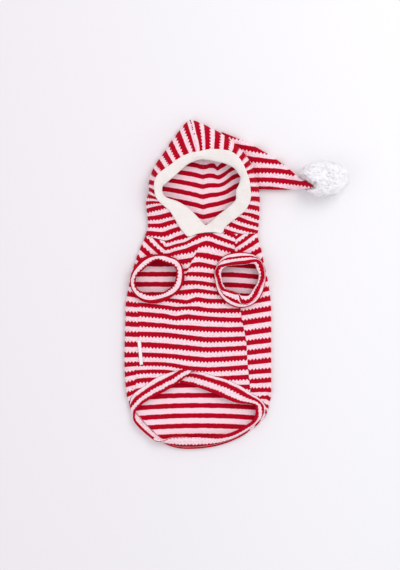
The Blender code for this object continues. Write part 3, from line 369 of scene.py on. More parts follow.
# The same stripes on the back panel's wraps: left fold, left seam, right seam, right fold
WRAP_STRIPES = (
    (228.0, 248.5, 246.0, 230.0), (238.0, 256.0, 254.0, 239.0), (247.0, 264.0, 262.0, 249.5),
    (257.0, 273.0, 270.0, 260.0), (265.7, 280.0, 279.0, 269.3), (275.0, 285.0, 287.5, 278.5),
    (284.0, 290.0, 295.0, 288.2), (293.3, 296.0, 303.5, 297.9), (303.7, 304.8, 313.0, 308.1),
    (313.5, 314.6, 322.4, 318.4), (323.2, 324.3, 333.0, 329.3), (334.0, 334.0, 342.6, 339.8),
    (343.8, 344.0, 352.4, 349.5), (354.7, 354.7, 362.1, 359.8), (364.4, 363.6, 371.9, 370.2),
    (374.2, 371.9, 381.1, 379.4), (384.5, 381.7, 389.7, 389.7), (394.3, 392.0, 394.5, 398.9),
    (405.8, 403.0, 403.0, 406.9),
)
# Where the chest's tuck shifts the stripes to its left, in plan steps
TUCK_LINE = ((197.0, 250.6), (187.0, 272.0))
TUCK_SHIFT = 3.5
TUCK_REACH = 12.0
# Red stripes of the hood's front, each from the silhouette to the face trim, on the plan
HOOD_LEFT_STRIPES = (
    ((147.0, 234.6), (180.6, 228.8)), ((148.3, 225.9), (174.8, 222.2)),
    ((148.3, 218.9), (172.3, 215.5)), ((147.0, 211.0), (164.0, 207.3)),
    ((146.2, 203.7), (160.5, 203.7)), ((146.2, 195.7), (157.8, 199.5)),
    ((149.5, 189.5), (154.5, 194.0)), ((149.1, 183.2), (153.7, 184.0)),
    ((152.4, 171.4), (155.8, 176.3)), ((157.8, 162.2), (161.6, 168.9)),
    ((164.0, 153.1), (169.4, 163.1)), ((170.7, 143.2), (176.5, 157.3)),
    ((177.7, 134.0), (184.8, 153.1)), ((185.2, 124.5), (194.7, 151.5)),
)
HOOD_RIGHT_STRIPES = (
    ((256.5, 232.1), (228.7, 224.7)), ((257.7, 225.5), (236.2, 218.5)),
    ((259.4, 218.9), (241.2, 214.7)), ((259.6, 209.5), (250.7, 209.5)),
    ((259.6, 200.2), (250.7, 200.2)), ((259.0, 189.8), (250.7, 189.8)),
    ((257.0, 180.6), (249.4, 181.1)), ((254.0, 171.0), (249.0, 171.6)),
    ((249.4, 163.1), (245.3, 166.4)), ((244.5, 154.8), (241.1, 158.1)),
    ((237.0, 146.5), (234.5, 152.3)), ((227.9, 136.5), (226.2, 149.0)),
    ((217.9, 132.0), (216.7, 147.7)), ((207.2, 125.8), (207.2, 148.6)),
    ((196.4, 121.6), (200.5, 150.6)),
)
# Red stripes of the hood's inner back: steps down the plan at each of HOOD_INSIDE_ACROSS
HOOD_INSIDE_ACROSS = (165, 175, 185, 195, 203, 206, 210, 215, 217, 220, 225, 230, 235, 239)
HOOD_INSIDE_STRIPES = (
    (160.2, 162.0, 163.7, 165.2, 167.2, 167.0, 165.8, 166.2, 168.8, 166.6, 164.0, 161, 158, 156),
    (170.0, 171.6, 173.1, 174.9, 176.9, 176, 175.7, 176.4, 177.3, 177.3, 174.2, 170, 167.5, 165),
    (179.6, 181.2, 182.9, 184.9, 186.8, 185.9, 185.4, 185.4, 185.4, 185.2, 183, 179.2, 176.3, 175),
    (188.9, 190.5, 192.5, 194.8, 196.9, 196.1, 195.3, 194.9, 194.7, 194, 192.6, 189.8, 186.7, 185),
    (198.7, 200.9, 202.6, 204.7, 206.9, 206.3, 205.2, 204.4, 204.1, 203.2, 201.7, 200, 198.4, 197),
    (208.7, 210.8, 212.8, 214.8, 216.9, 216.6, 215.6, 214.4, 214.1, 213, 212, 210, 208, 207),
)
ROLL_RED = (16.0, 26.0, 21.12)  # hem places of the roll's red stripe, and its phase at the seam
BACK_INSIDE_FIRST = 395.2  # plan row of a red stripe of the back's inner face
BACK_INSIDE_STEPS = (10.08, 10.15)  # above and below that row
BACK_INSIDE_CHEST = 340  # row that parts the stripes seen in the armholes and in the hem
BACK_INSIDE_DROP = (1.0, 205, 10)  # how much lower the chest's stripes lie right of a step; run
BACK_INSIDE_TOP = 263.9  # row above which the inner face stays red
BACK_INSIDE_SAG = ((200.0, 0.0007), (239.0, 0.08))  # droop from the middle; slope at the right
# Red stripes of the tail: steps down the plan at each of TAIL_ACROSS
TAIL_ACROSS = (222, 236, 250, 266, 283, 297, 311)
TAIL_STRIPES = (
    (133.4, 138.0, 141.5, 146.0, 152.0, 158.0, 165.0),
    (144.0, 146.0, 148.9, 153.2, 158.5, 164.5, 172.0),
    (155.0, 157.0, 159.2, 161.3, 163.8, 168.5, 177.0),
    (174.0, 173.5, 171.4, 171.0, 171.9, 175.0, 180.5),
    (184.5, 183.0, 180.4, 180.2, 181.7, 183.1, 185.8),
    (196.0, 192.0, 189.0, 188.5, 190.0, 192.0, 194.0),
)


def smoothstep(value: float) -> float:
    """A smooth step from 0 to 1."""
    value = min(max(value, 0.0), 1.0)
    return value * value * (3 - 2 * value)


def mix(first: float, second: float, share: float) -> float:
    """The value at this share of the way from the first to the second."""
    return first + (second - first) * share


def on_plan(right: float, down: float) -> Vector:
    """The place of a point of the plan, in metres."""
    return Vector(((right - PLAN_ORIGIN[0]) * PLAN_STEP, (PLAN_ORIGIN[1] - down) * PLAN_STEP))


def to_plan(x: float, y: float) -> tuple[float, float]:
    """The plan's steps right and down to a place."""
    return PLAN_ORIGIN[0] + x / PLAN_STEP, PLAN_ORIGIN[1] - y / PLAN_STEP


def spline(keys: Sequence[float], place: float) -> tuple[tuple[int, ...], tuple[float, ...]]:
    """Finds a place between keys on a smooth curve.

    Args:
        keys: the curve's rising keys.
        place: the place, held between the first key and the last.

    Returns:
        The numbers of the four keys round it, and the shares that `blended` takes.
    """
    place = min(max(place, keys[0]), keys[-1])
    i = min(max(bisect_right(keys, place) - 1, 0), len(keys) - 2)
    span = keys[i + 1] - keys[i]
    t = (place - keys[i]) / span
    low, high = max(i - 1, 0), min(i + 2, len(keys) - 1)
    start = (t**3 - 2 * t**2 + t) * (span / (keys[i + 1] - keys[low]))
    end = (t**3 - t**2) * (span / (keys[high] - keys[i]))
    return (low, i, i + 1, high), (2 * t**3 - 3 * t**2 + 1, start, end)


def blended(values: Sequence[float], shares: tuple[float, ...]) -> float:
    """The curve's value from four keys' values and their shares."""
    (a, b, c, d), (first, start, end) = values, shares
    return first * b + start * (c - a) + (1 - first) * c + end * (d - b)


class Curve:
    """Rows of a table joined by a smooth curve, each column for itself."""

    def __init__(self, rows: Sequence[NamedTuple], key: str | None = None) -> None:
        """Keeps the rows in order of their key, or of their number.

        Args:
            rows: the table.
            key: the column that gives each row's place, or None for its number.
        """
        keys = [getattr(row, key) for row in rows] if key else [float(i) for i in range(len(rows))]
        if keys[0] > keys[-1]:
            keys.reverse()
            rows = rows[::-1]
        self.rows, self.keys, self.kind = rows, keys, type(rows[0])

    @classmethod
    def closed(cls, rows: Sequence[NamedTuple]) -> Curve:
        """A curve round a full turn of angles in degrees."""
        before = [row._replace(angle=row.angle - 360) for row in rows[-2:]]
        after = [row._replace(angle=row.angle + 360) for row in rows[:2]]
        return cls([*before, *rows, *after], "angle")

    def at(self, place: float) -> NamedTuple:
        """The row at a place between the table's rows."""
        spots, shares = spline(self.keys, place)
        return self.kind(*(blended(four, shares) for four in zip(*(self.rows[i] for i in spots))))


BODY = Curve(BODY_ROWS, "y")
NECK_TOP_CURVE = Curve(NECK_TOP, "x")
NECK_UNDER_CURVE = Curve(NECK_UNDER, "x")
HEM = Curve(HEM_LOOP)
HOOD_SIDE_CURVE = Curve(HOOD_RIGHT)
TAIL_CURVE = Curve(TAIL_ROWS)


def rounded(distance: float) -> float:
    """Share of the full height at this distance in from a fold."""
    across = min(max(distance / SHOULDER, 0.0), 1.0)
    return math.sqrt(1 - (1 - across) ** 2)


def fold_height(x: float, y: float) -> float:
    """Finds what the soft folds add to the top layer's height.

    Args:
        x: the place across the garment.
        y: the place along it.

    Returns:
        The height that they add.
    """
    total = 0.0
    for fold in FOLDS:
        run_x, run_y = fold.x1 - fold.x0, fold.y1 - fold.y0
        length = math.hypot(run_x, run_y)
        along = ((x - fold.x0) * run_x + (y - fold.y0) * run_y) / length**2
        past = (along - min(max(along, 0.0), 1.0)) * length
        across = ((x - fold.x0) * run_y - (y - fold.y0) * run_x) / length
        total += fold.rise * math.exp(-(across**2 + past**2) / fold.reach**2)
    return total


def top_height(x: float, y: float) -> float:
    """The body's outer top face over the surface."""
    row = BODY.at(y)
    rise, rise_x, rise_y, reach = NECK_RISE
    from_neck = (x - rise_x) ** 2 + (y - rise_y) ** 2
    crown = TOP_HEIGHT + rise * math.exp(-from_neck / reach**2) + fold_height(x, y)
    return FOLD_RADIUS + (crown - FOLD_RADIUS) * rounded(x - row.left) * rounded(row.right - x)


def trim_edge(row: HoodRow | TrimRow) -> Vector:
    """Where the hood's knit ends under the trim."""
    rim, face = Vector((row.rim_x, row.rim_y)), Vector((row.face_x, row.face_y))
    slim = sum(most * smoothstep((row.rim_y - start) / run) for most, start, run in TRIM_SLIM)
    return rim + (face - rim).normalized() * slim


def hem_seam(place: float) -> Vector:
    """The panel's outer face at the hem seam."""
    row = HEM.at(place)
    return Vector((row.seam_x, row.seam_y, max(row.seam_z, 0.0)))


def phase_in(
    column: Sequence[float],
    place: float,
    pitch: float = STRIPE / PLAN_STEP,
    most: float = math.inf,
) -> float:
    """How many stripes lie before a place.

    Args:
        column: the place of each stripe's middle.
        place: the place.
        pitch: the distance between stripes past the last one.
        most: how many stripes may lie past the last one.

    Returns:
        The number of stripes, with the part of the next one.
    """
    if place <= column[0]:
        return (place - column[0]) / (column[1] - column[0])
    if place >= column[-1]:
        return len(column) - 1 + min((place - column[-1]) / pitch, most)
    i = bisect_right(column, place) - 1
    return i + (place - column[i]) / (column[i + 1] - column[i])


def striped(
    rows: Sequence[Sequence[float]], across: Sequence[float], right: float, down: float
) -> float:
    """How many stripes of a table lie above a point of the plan.

    Args:
        rows: each stripe's steps down the plan.
        across: the steps right at which they are given.
        right: the point's steps right.
        down: its steps down.

    Returns:
        The number of stripes, with the part of the next one.
    """
    spots, shares = spline(across, right)
    return phase_in([blended([row[i] for i in spots], shares) for row in rows], down)


def belly_phase(x: float, y: float) -> float:
    """How many stripes of the belly lie above this place, shifted left of the chest's tuck."""
    right, down = to_plan(x, y)
    (x0, y0), (x1, y1) = TUCK_LINE
    along = (down - y0) / (y1 - y0)
    left_of = mix(x0, x1, along) - right
    strength = smoothstep((along + 0.25) / 0.45) * smoothstep((1.25 - along) / 0.45)
    if left_of > 0:
        down -= TUCK_SHIFT * strength * math.exp(-((left_of / TUCK_REACH) ** 2))
    return striped(BELLY_STRIPES, BELLY_ACROSS, right, down)


def wrap_phase(ends: tuple[int, int], share: float, y: float) -> float:
    """How many stripes of the back's outer face lie above a place between two of its lines."""
    down = PLAN_ORIGIN[1] - y / PLAN_STEP
    return phase_in([mix(row[ends[0]], row[ends[1]], share) for row in WRAP_STRIPES], down)


def back_inside_phase(x: float, y: float) -> float:
    """Counts the stripes of the back's inner face above a place.

    Args:
        x: the place across the garment.
        y: the place along it.

    Returns:
        The number of stripes from one near the hem, with the part of the next one.
    """
    right, down = to_plan(x, y)
    (middle, sag), (turn, slope) = BACK_INSIDE_SAG
    down -= sag * (right - middle) ** 2 * smoothstep((down - BACK_INSIDE_CHEST) / 60)
    chest = smoothstep((BACK_INSIDE_CHEST - down) / 40)
    down -= slope * (right - turn) * smoothstep((right - turn + 25) / 25) * chest
    drop, start, run = BACK_INSIDE_DROP
    down -= drop * smoothstep((right - start) / run) * chest
    down = max(down, BACK_INSIDE_TOP)
    return (down - BACK_INSIDE_FIRST) / BACK_INSIDE_STEPS[down > BACK_INSIDE_FIRST]


class ClothPoint(NamedTuple):
    """A point of a cloth's outer face, with its place in the knit on both faces."""

    place: Vector
    outside: tuple[float, float]
    inside: tuple[float, float]


Ring = list[tuple[Vector, tuple[float, float]]]  # points, each with its place in the knit


class Pigment(Enum):
    """Colours of the yarns, as they look in plain light, and of the floor with its painted light
    falloff.
    """

    RED = (0.56, 0.0008, 0.020)
    RED_DEEP = (0.34, 0.0005, 0.010)
    PALE = (0.965, 0.785, 0.83)
    PALE_SHADE = (0.93, 0.60, 0.68)
    PALE_INSIDE = (0.99, 0.845, 0.89)
    CREAM = (0.885, 0.838, 0.805)
    CREAM_SHADE = (0.765, 0.675, 0.64)
    THREAD = (0.060, 0.006, 0.022)
    POMPOM = (0.94, 0.925, 0.955)
    TAPE = (0.93, 0.90, 0.92)
    # the floor's two ends: painted shade on the left, painted light on the right
    FLOOR_PAINTED_SHADE_LEFT = (0.825, 0.795, 0.825)
    FLOOR_PAINTED_LIGHT_RIGHT = (0.870, 0.868, 0.880)

    def darker(self, part: float) -> tuple[float, ...]:
        """This part of the colour."""
        return tuple(value * part for value in self.value)


class Paint:
    """Wires up the nodes of one material."""

    def __init__(self, name: str, roughness: float, sheen: float) -> None:
        """Starts a material with its constant settings on the shader's own sockets.

        Args:
            name: the material's name.
            roughness: the shader's roughness.
            sheen: its sheen weight.
        """
        self.material = bpy.data.materials.new(name)
        self.material.use_nodes = True
        self.tree = self.material.node_tree
        self.shader = self.tree.nodes["Principled BSDF"]
        self.shader.inputs["Roughness"].default_value = roughness
        self.shader.inputs["Sheen Weight"].default_value = sheen
        self.shader.inputs["Sheen Roughness"].default_value = 0.5
        self.shader.inputs["Specular IOR Level"].default_value = 0.06

    def node(self, kind: str, **settings: object) -> bpy.types.Node:
        """Adds a node and sets its own properties."""
        node = self.tree.nodes.new(kind)
        for key, value in settings.items():
            setattr(node, key, value)
        return node

    def feed(self, socket: bpy.types.NodeSocket, value: object) -> None:
        """Links a socket, or sets it where the value is a number or a colour."""
        if isinstance(value, bpy.types.NodeSocket):
            self.tree.links.new(value, socket)
        elif isinstance(value, tuple) and len(value) == 3:
            socket.default_value = (*value, 1)
        else:
            socket.default_value = value

    def math(self, operation: str, *values: object) -> bpy.types.NodeSocket:
        """One step of arithmetic on sockets or numbers."""
        node = self.node("ShaderNodeMath", operation=operation)
        for socket, value in zip(node.inputs, values):
            self.feed(socket, value)
        return node.outputs[0]

    def add(self, *values: object) -> bpy.types.NodeSocket:
        """The sum of two values."""
        return self.math("ADD", *values)

    def times(self, *values: object) -> bpy.types.NodeSocket:
        """The product of two values, with a third one added where it is given."""
        return self.math("MULTIPLY_ADD" if len(values) == 3 else "MULTIPLY", *values)

    def step(self, value: object, low: object, high: object) -> bpy.types.NodeSocket:
        """A smooth step from 0 at low to 1 at high."""
        node = self.node("ShaderNodeMapRange", interpolation_type="SMOOTHSTEP")
        for name, given in (("Value", value), ("From Min", low), ("From Max", high)):
            self.feed(node.inputs[name], given)
        return node.outputs[0]

    def blend(self, share: object, first: object, second: object) -> bpy.types.NodeSocket:
        """A colour at this share of the way from the first to the second."""
        node = self.node("ShaderNodeMix", data_type="RGBA")
        for socket, given in ((0, share), (6, first), (7, second)):
            self.feed(node.inputs[socket], given)
        return node.outputs[2]

    def split(self, source: bpy.types.NodeSocket) -> bpy.types.NodeOutputs:
        """The parts of a place."""
        parts = self.node("ShaderNodeSeparateXYZ")
        self.feed(parts.inputs[0], source)
        return parts.outputs

    def texture(self, kind: str, output: int, **settings: object) -> bpy.types.NodeSocket:
        """A texture over the piece.

        Args:
            kind: the texture node's kind.
            output: the output that is used.
            **settings: its sockets by name, or its own properties in small letters.

        Returns:
            The output.
        """
        node = self.node(kind)
        self.feed(node.inputs["Vector"], self.node("ShaderNodeTexCoord").outputs["Object"])
        for key, value in settings.items():
            if key.islower():
                setattr(node, key, value)
            else:
                node.inputs[key].default_value = value
        return node.outputs[output]

    def cloudy(self, scale: float, detail: float = 2.0) -> bpy.types.NodeSocket:
        """Soft noise between 0 and 1 over the piece."""
        return self.texture("ShaderNodeTexNoise", 0, Scale=scale, Detail=detail)

    def finished(
        self, colour: object, height: object = None, depth: float = 0.0, strength: float = 1.0
    ) -> bpy.types.Material:
        """Sets the base colour and the relief.

        Args:
            colour: the colour.
            height: the relief's height, or None for a plain surface.
            depth: the relief's depth in metres.
            strength: the relief's strength.

        Returns:
            The material.
        """
        self.feed(self.shader.inputs["Base Color"], colour)
        if height is not None:
            bump = self.node("ShaderNodeBump")
            bump.inputs["Strength"].default_value = strength
            bump.inputs["Distance"].default_value = depth
            self.feed(bump.inputs["Height"], height)
            self.feed(self.shader.inputs["Normal"], bump.outputs[0])
        return self.material


class Window(NamedTuple):
    """A red stripe across a knit: where it starts and ends, and how deep its teeth are."""

    start: float
    end: float
    start_teeth: float = 0.0
    end_teeth: float = 0.0


@dataclass(frozen=True)
class StripedKnit:
    """A striped knit face: textured with scalloped stripes outside, smooth and plain inside."""

    name: str
    windows: tuple[Window, ...]
    layer: str = "outside"
    repeats: bool = True
    smooth: bool = False
    soft: float = 0.03
    courses: float = 6.0
    depth: float = 0.0008

    def make(self) -> bpy.types.Material:
        """Makes the material."""
        paint = Paint(self.name, 0.9, 0.015)
        along, across, _ = paint.split(paint.node("ShaderNodeUVMap", uv_map=self.layer).outputs[0])
        drift = paint.times(paint.math("SUBTRACT", paint.cloudy(160.0), 0.5), 0.10)
        place = paint.add(across, drift)
        if self.repeats:
            place = paint.math("SUBTRACT", paint.math("FRACT", paint.add(place, 0.5)), 0.5)
        tooth = paint.math("SUBTRACT", paint.times(paint.math("PINGPONG", along, 0.5), 4.0), 1.0)
        red = None
        for window in self.windows:
            start = self.edge(paint, place, window.start, tooth, -window.start_teeth)
            end = self.edge(paint, place, window.end, tooth, window.end_teeth)
            inside = paint.times(start, paint.math("SUBTRACT", 1.0, end))
            red = inside if red is None else paint.math("MAXIMUM", red, inside)
        wale = paint.times(paint.math("PINGPONG", paint.times(along, 2.0), 0.5), 2.0)
        rows = paint.times(across, self.courses, paint.times(wale, 0.35))
        course = paint.math("SINE", paint.times(rows, 2 * math.pi))
        knit = paint.add(paint.times(course, 0.25, paint.times(wale, 0.5)), 0.25)
        fuzz = paint.cloudy(1400.0, 3.0)
        if self.smooth:
            shade = paint.times(fuzz, 0.5, paint.times(knit, 0.35))
            pale = paint.blend(shade, Pigment.PALE_SHADE.value, Pigment.PALE_INSIDE.value)
        else:
            shade = paint.times(fuzz, 0.35, paint.times(knit, 0.65))
            fleck = paint.step(paint.cloudy(430.0, 1.0), 0.36, 0.56)
            mottle = paint.times(fleck, paint.times(shade, 0.5, 0.65))
            pale = paint.blend(mottle, Pigment.PALE_SHADE.value, Pigment.PALE.value)
        tone = paint.times(paint.cloudy(90.0), 0.4, paint.times(shade, 0.7))
        deep = paint.blend(tone, Pigment.RED_DEEP.value, Pigment.RED.value)
        height = paint.times(fuzz, 0.4, knit)
        if not self.smooth:
            height = paint.times(red, -0.5, height)
        depth = self.depth * (0.4 if self.smooth else 1.0)
        return paint.finished(paint.blend(red, pale, deep), height, depth, 0.7)

    def edge(
        self, paint: Paint, place: object, at: float, tooth: object, depth: float
    ) -> bpy.types.NodeSocket:
        """A soft step at one edge of a stripe.

        Args:
            paint: the material that is made.
            place: the place across the stripes.
            at: where the edge lies.
            tooth: the scallops, from -1 to 1.
            depth: how deep they are here, or 0 for a straight edge.

        Returns:
            The step.
        """
        if depth:
            place = paint.times(tooth, -depth, place)
        return paint.step(place, at - self.soft, at + self.soft)


@dataclass(frozen=True)
class LoopFleece:
    """Cream fleece with short loops."""

    name: str = "cream_fleece_loops"
    loop: float = 750.0

    def make(self) -> bpy.types.Material:
        """Makes the material."""
        paint = Paint(self.name, 0.95, 0.25)
        loops = paint.texture("ShaderNodeTexVoronoi", 0, Scale=self.loop)
        fuzz = paint.cloudy(1500.0, 3.0)
        shade = paint.times(loops, -0.6, paint.add(fuzz, 0.33))
        # Broad cloudy patches: partly the fleece's uneven tone, partly painted shade standing in
        # for its soft creases.
        shade = paint.times(paint.cloudy(75.0), 0.75, shade)
        colour = paint.blend(shade, Pigment.CREAM_SHADE.value, Pigment.CREAM.value)
        return paint.finished(colour, paint.times(loops, -1.0, fuzz), 0.0007, 0.6)


@dataclass(frozen=True)
class BrushedYarn:
    """Brushed pale yarn of the pompom."""

    name: str = "pompom_brushed_yarn"

    def make(self) -> bpy.types.Material:
        """Makes the material."""
        paint = Paint(self.name, 0.9, 1.0)
        shade = paint.times(paint.cloudy(900.0), 0.5, paint.cloudy(110.0))
        colour = paint.blend(shade, Pigment.POMPOM.darker(0.97), Pigment.POMPOM.value)
        return paint.finished(colour, paint.cloudy(1500.0, 3.0), 0.0003, 0.35)


@dataclass(frozen=True)
class WovenTape:
    """Plain pale woven tape."""

    name: str = "label_woven_tape"
    threads: float = 520.0

    def make(self) -> bpy.types.Material:
        """Makes the material."""
        paint = Paint(self.name, 0.6, 0.05)
        weave = (
            paint.texture("ShaderNodeTexWave", 1, bands_direction=axis, Scale=self.threads)
            for axis in "XY"
        )
        threads = paint.times(*weave)
        colour = paint.blend(threads, Pigment.TAPE.darker(0.94), Pigment.TAPE.value)
        return paint.finished(colour, threads, 0.0002, 0.5)


@dataclass(frozen=True)
class DarkThread:
    """Dark sewing thread."""

    name: str = "dark_thread"

    def make(self) -> bpy.types.Material:
        """Makes the material."""
        paint = Paint(self.name, 0.8, 0.0)
        low, high = Pigment.THREAD.darker(0.7), Pigment.THREAD.value
        return paint.finished(paint.blend(paint.cloudy(2500.0), low, high))


@dataclass(frozen=True)
class PaintedFalloffPaper:
    """The pale surface that the garment lies on, painted a little darker on the left as a falloff
    of the light.
    """

    name: str = "studio_paper_painted_falloff"

    def make(self) -> bpy.types.Material:
        """Makes the material."""
        paint = Paint(self.name, 0.9, 0.0)
        parts = paint.split(paint.node("ShaderNodeTexCoord").outputs["Object"])
        # painted light falloff: the paper's colour darkens towards the left
        share = paint.step(parts[0], -0.42, 0.30)
        left, right = Pigment.FLOOR_PAINTED_SHADE_LEFT.value, Pigment.FLOOR_PAINTED_LIGHT_RIGHT.value
        return paint.finished(paint.blend(share, left, right))


class Wardrobe:
    """Every finish of the garment, made once."""

    def __init__(self) -> None:
        """Makes the materials."""
        self.belly = self.knit("belly_knit", (-0.275, 0.245, 0.0, 0.085))
        self.back = self.knit("back_knit", (-0.245, 0.275, 0.085, 0.0))
        self.inside = self.knit("inside_knit", (-0.245, 0.245), layer="inside", smooth=True)
        self.hood = self.knit("hood_knit", (-0.26, 0.31, 0.085, 0.0))
        self.tail = self.knit("tail_knit", (-0.285, 0.255, 0.0, 0.085))
        cuff = {"repeats": False, "courses": 3.0}
        left = ((-0.6, 0.96), (1.86, 4.8, 0.15, 0.0))
        self.left_cuff = self.knit("left_armhole_knit", *left, **cuff)
        right = ((-0.6, 0.27), (1.0, 2.0, 0.0, 0.12), (2.92, 4.06, 0.0, 0.16), (4.9, 7.0))
        self.right_cuff = self.knit("right_armhole_knit", *right, **cuff)
        hem = ((0.16, 0.45, 0.0, 0.035), (0.77, 1.2, 0.02, 0.0), (1.72, 1.86))
        self.hem = self.knit("hem_band_knit", *hem, repeats=False, courses=8.0)
        self.fleece = LoopFleece().make()
        self.yarn = BrushedYarn().make()
        self.tape = WovenTape().make()
        self.thread = DarkThread().make()

    def knit(
        self, name: str, *windows: tuple[float, ...], **settings: object
    ) -> bpy.types.Material:
        """A striped knit with these red windows."""
        return StripedKnit(name, tuple(Window(*window) for window in windows), **settings).make()


def mesh_object(
    name: str, bm: bmesh.types.BMesh, *materials: bpy.types.Material
) -> bpy.types.Object:
    """Turns a bmesh into a smooth object at the origin.

    Args:
        name: the object's name.
        bm: the mesh, which is freed.
        *materials: its materials.

    Returns:
        The object.
    """
    mesh = bpy.data.meshes.new(name)
    bm.to_mesh(mesh)
    bm.free()
    for material in materials:
        mesh.materials.append(material)
    piece = bpy.data.objects.new(name, mesh)
    bpy.context.scene.collection.objects.link(piece)
    mesh.shade_smooth()
    return piece


def cloth_object(
    name: str,
    columns: Sequence[Sequence[ClothPoint]],
    *materials: bpy.types.Material,
    keep: Callable[[Vector], bool] | None = None,
    wall: float = WALL,
) -> bpy.types.Object:
    """A cloth with a wall, from columns of points on its outer face.

    Args:
        name: the piece's name.
        columns: its points, column by column.
        *materials: the outer and the inner face's materials.
        keep: which faces stay, by their middle.
        wall: the cloth's thickness.

    Returns:
        The piece.
    """
    bm = bmesh.new()
    layers = [bm.loops.layers.uv.new(layer) for layer in ("outside", "inside")]
    grid = [[(bm.verts.new(point.place), point) for point in column] for column in columns]
    for left, right in zip(grid, grid[1:]):
        for row in range(len(left) - 1):
            corners = (left[row], left[row + 1], right[row + 1], right[row])
            middle = sum((corner[0].co for corner in corners), Vector()) / 4
            if keep is not None and not keep(middle):
                continue
            face = bm.faces.new([corner[0] for corner in corners])
            for loop, (_, point) in zip(face.loops, corners):
                for layer, marks in zip(layers, point[1:]):
                    loop[layer].uv = marks
    loose = [vert for vert in bm.verts if not vert.link_faces]
    bmesh.ops.delete(bm, geom=loose, context="VERTS")
    piece = mesh_object(name, bm, *materials)
    solid = piece.modifiers.new("wall", "SOLIDIFY")
    solid.thickness = wall
    solid.offset = -1
    solid.use_quality_normals = True
    solid.material_offset = 1
    bpy.ops.object.select_all(action="DESELECT")
    bpy.context.view_layer.objects.active = piece
    piece.select_set(True)
    bpy.ops.object.modifier_apply(modifier=solid.name)
    piece.select_set(False)
    bm = bmesh.new()
    bm.from_mesh(piece.data)
    for vert in bm.verts:
        vert.co.z = max(vert.co.z, 0.0)
    for edge in bm.edges:
        edge.smooth = edge.calc_face_angle(0.0) < CUT_EDGE_ANGLE
    bm.to_mesh(piece.data)
    bm.free()
    return piece


def tube_object(
    name: str, rings: Sequence[Ring], material: bpy.types.Material, closed: bool
) -> bpy.types.Object:
    """A closed body lofted through rings.

    Args:
        name: the piece's name.
        rings: the rings, each of which ends on a copy of its start.
        material: its material.
        closed: whether the last ring joins the first, which it then copies.

    Returns:
        The piece.
    """
    bm = bmesh.new()
    layer = bm.loops.layers.uv.new("outside")
    count = len(rings[0]) - 1
    solid = rings[:-1] if closed else rings
    loops = [[bm.verts.new(ring[i][0]) for i in range(count)] for ring in solid]
    for r in range(len(rings) - 1):
        spots = ((r, 0), (r, 1), (r + 1, 1), (r + 1, 0))
        for i in range(count):
            corners = [loops[row % len(loops)][(i + k) % count] for row, k in spots]
            face = bm.faces.new(corners)
            for loop, (row, k) in zip(face.loops, spots):
                loop[layer].uv = rings[row][i + k][1]
    if not closed:
        bm.faces.new(loops[0])
        bm.faces.new(loops[-1])
    bmesh.ops.recalc_face_normals(bm, faces=bm.faces)
    return mesh_object(name, bm, material)


def settle(piece: bpy.types.Object, slot: str, *nodes: str) -> None:
    """Makes a piece ride with the garment and stand for its CAD nodes."""
    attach(piece, "root")
    if nodes:
        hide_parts(*nodes)


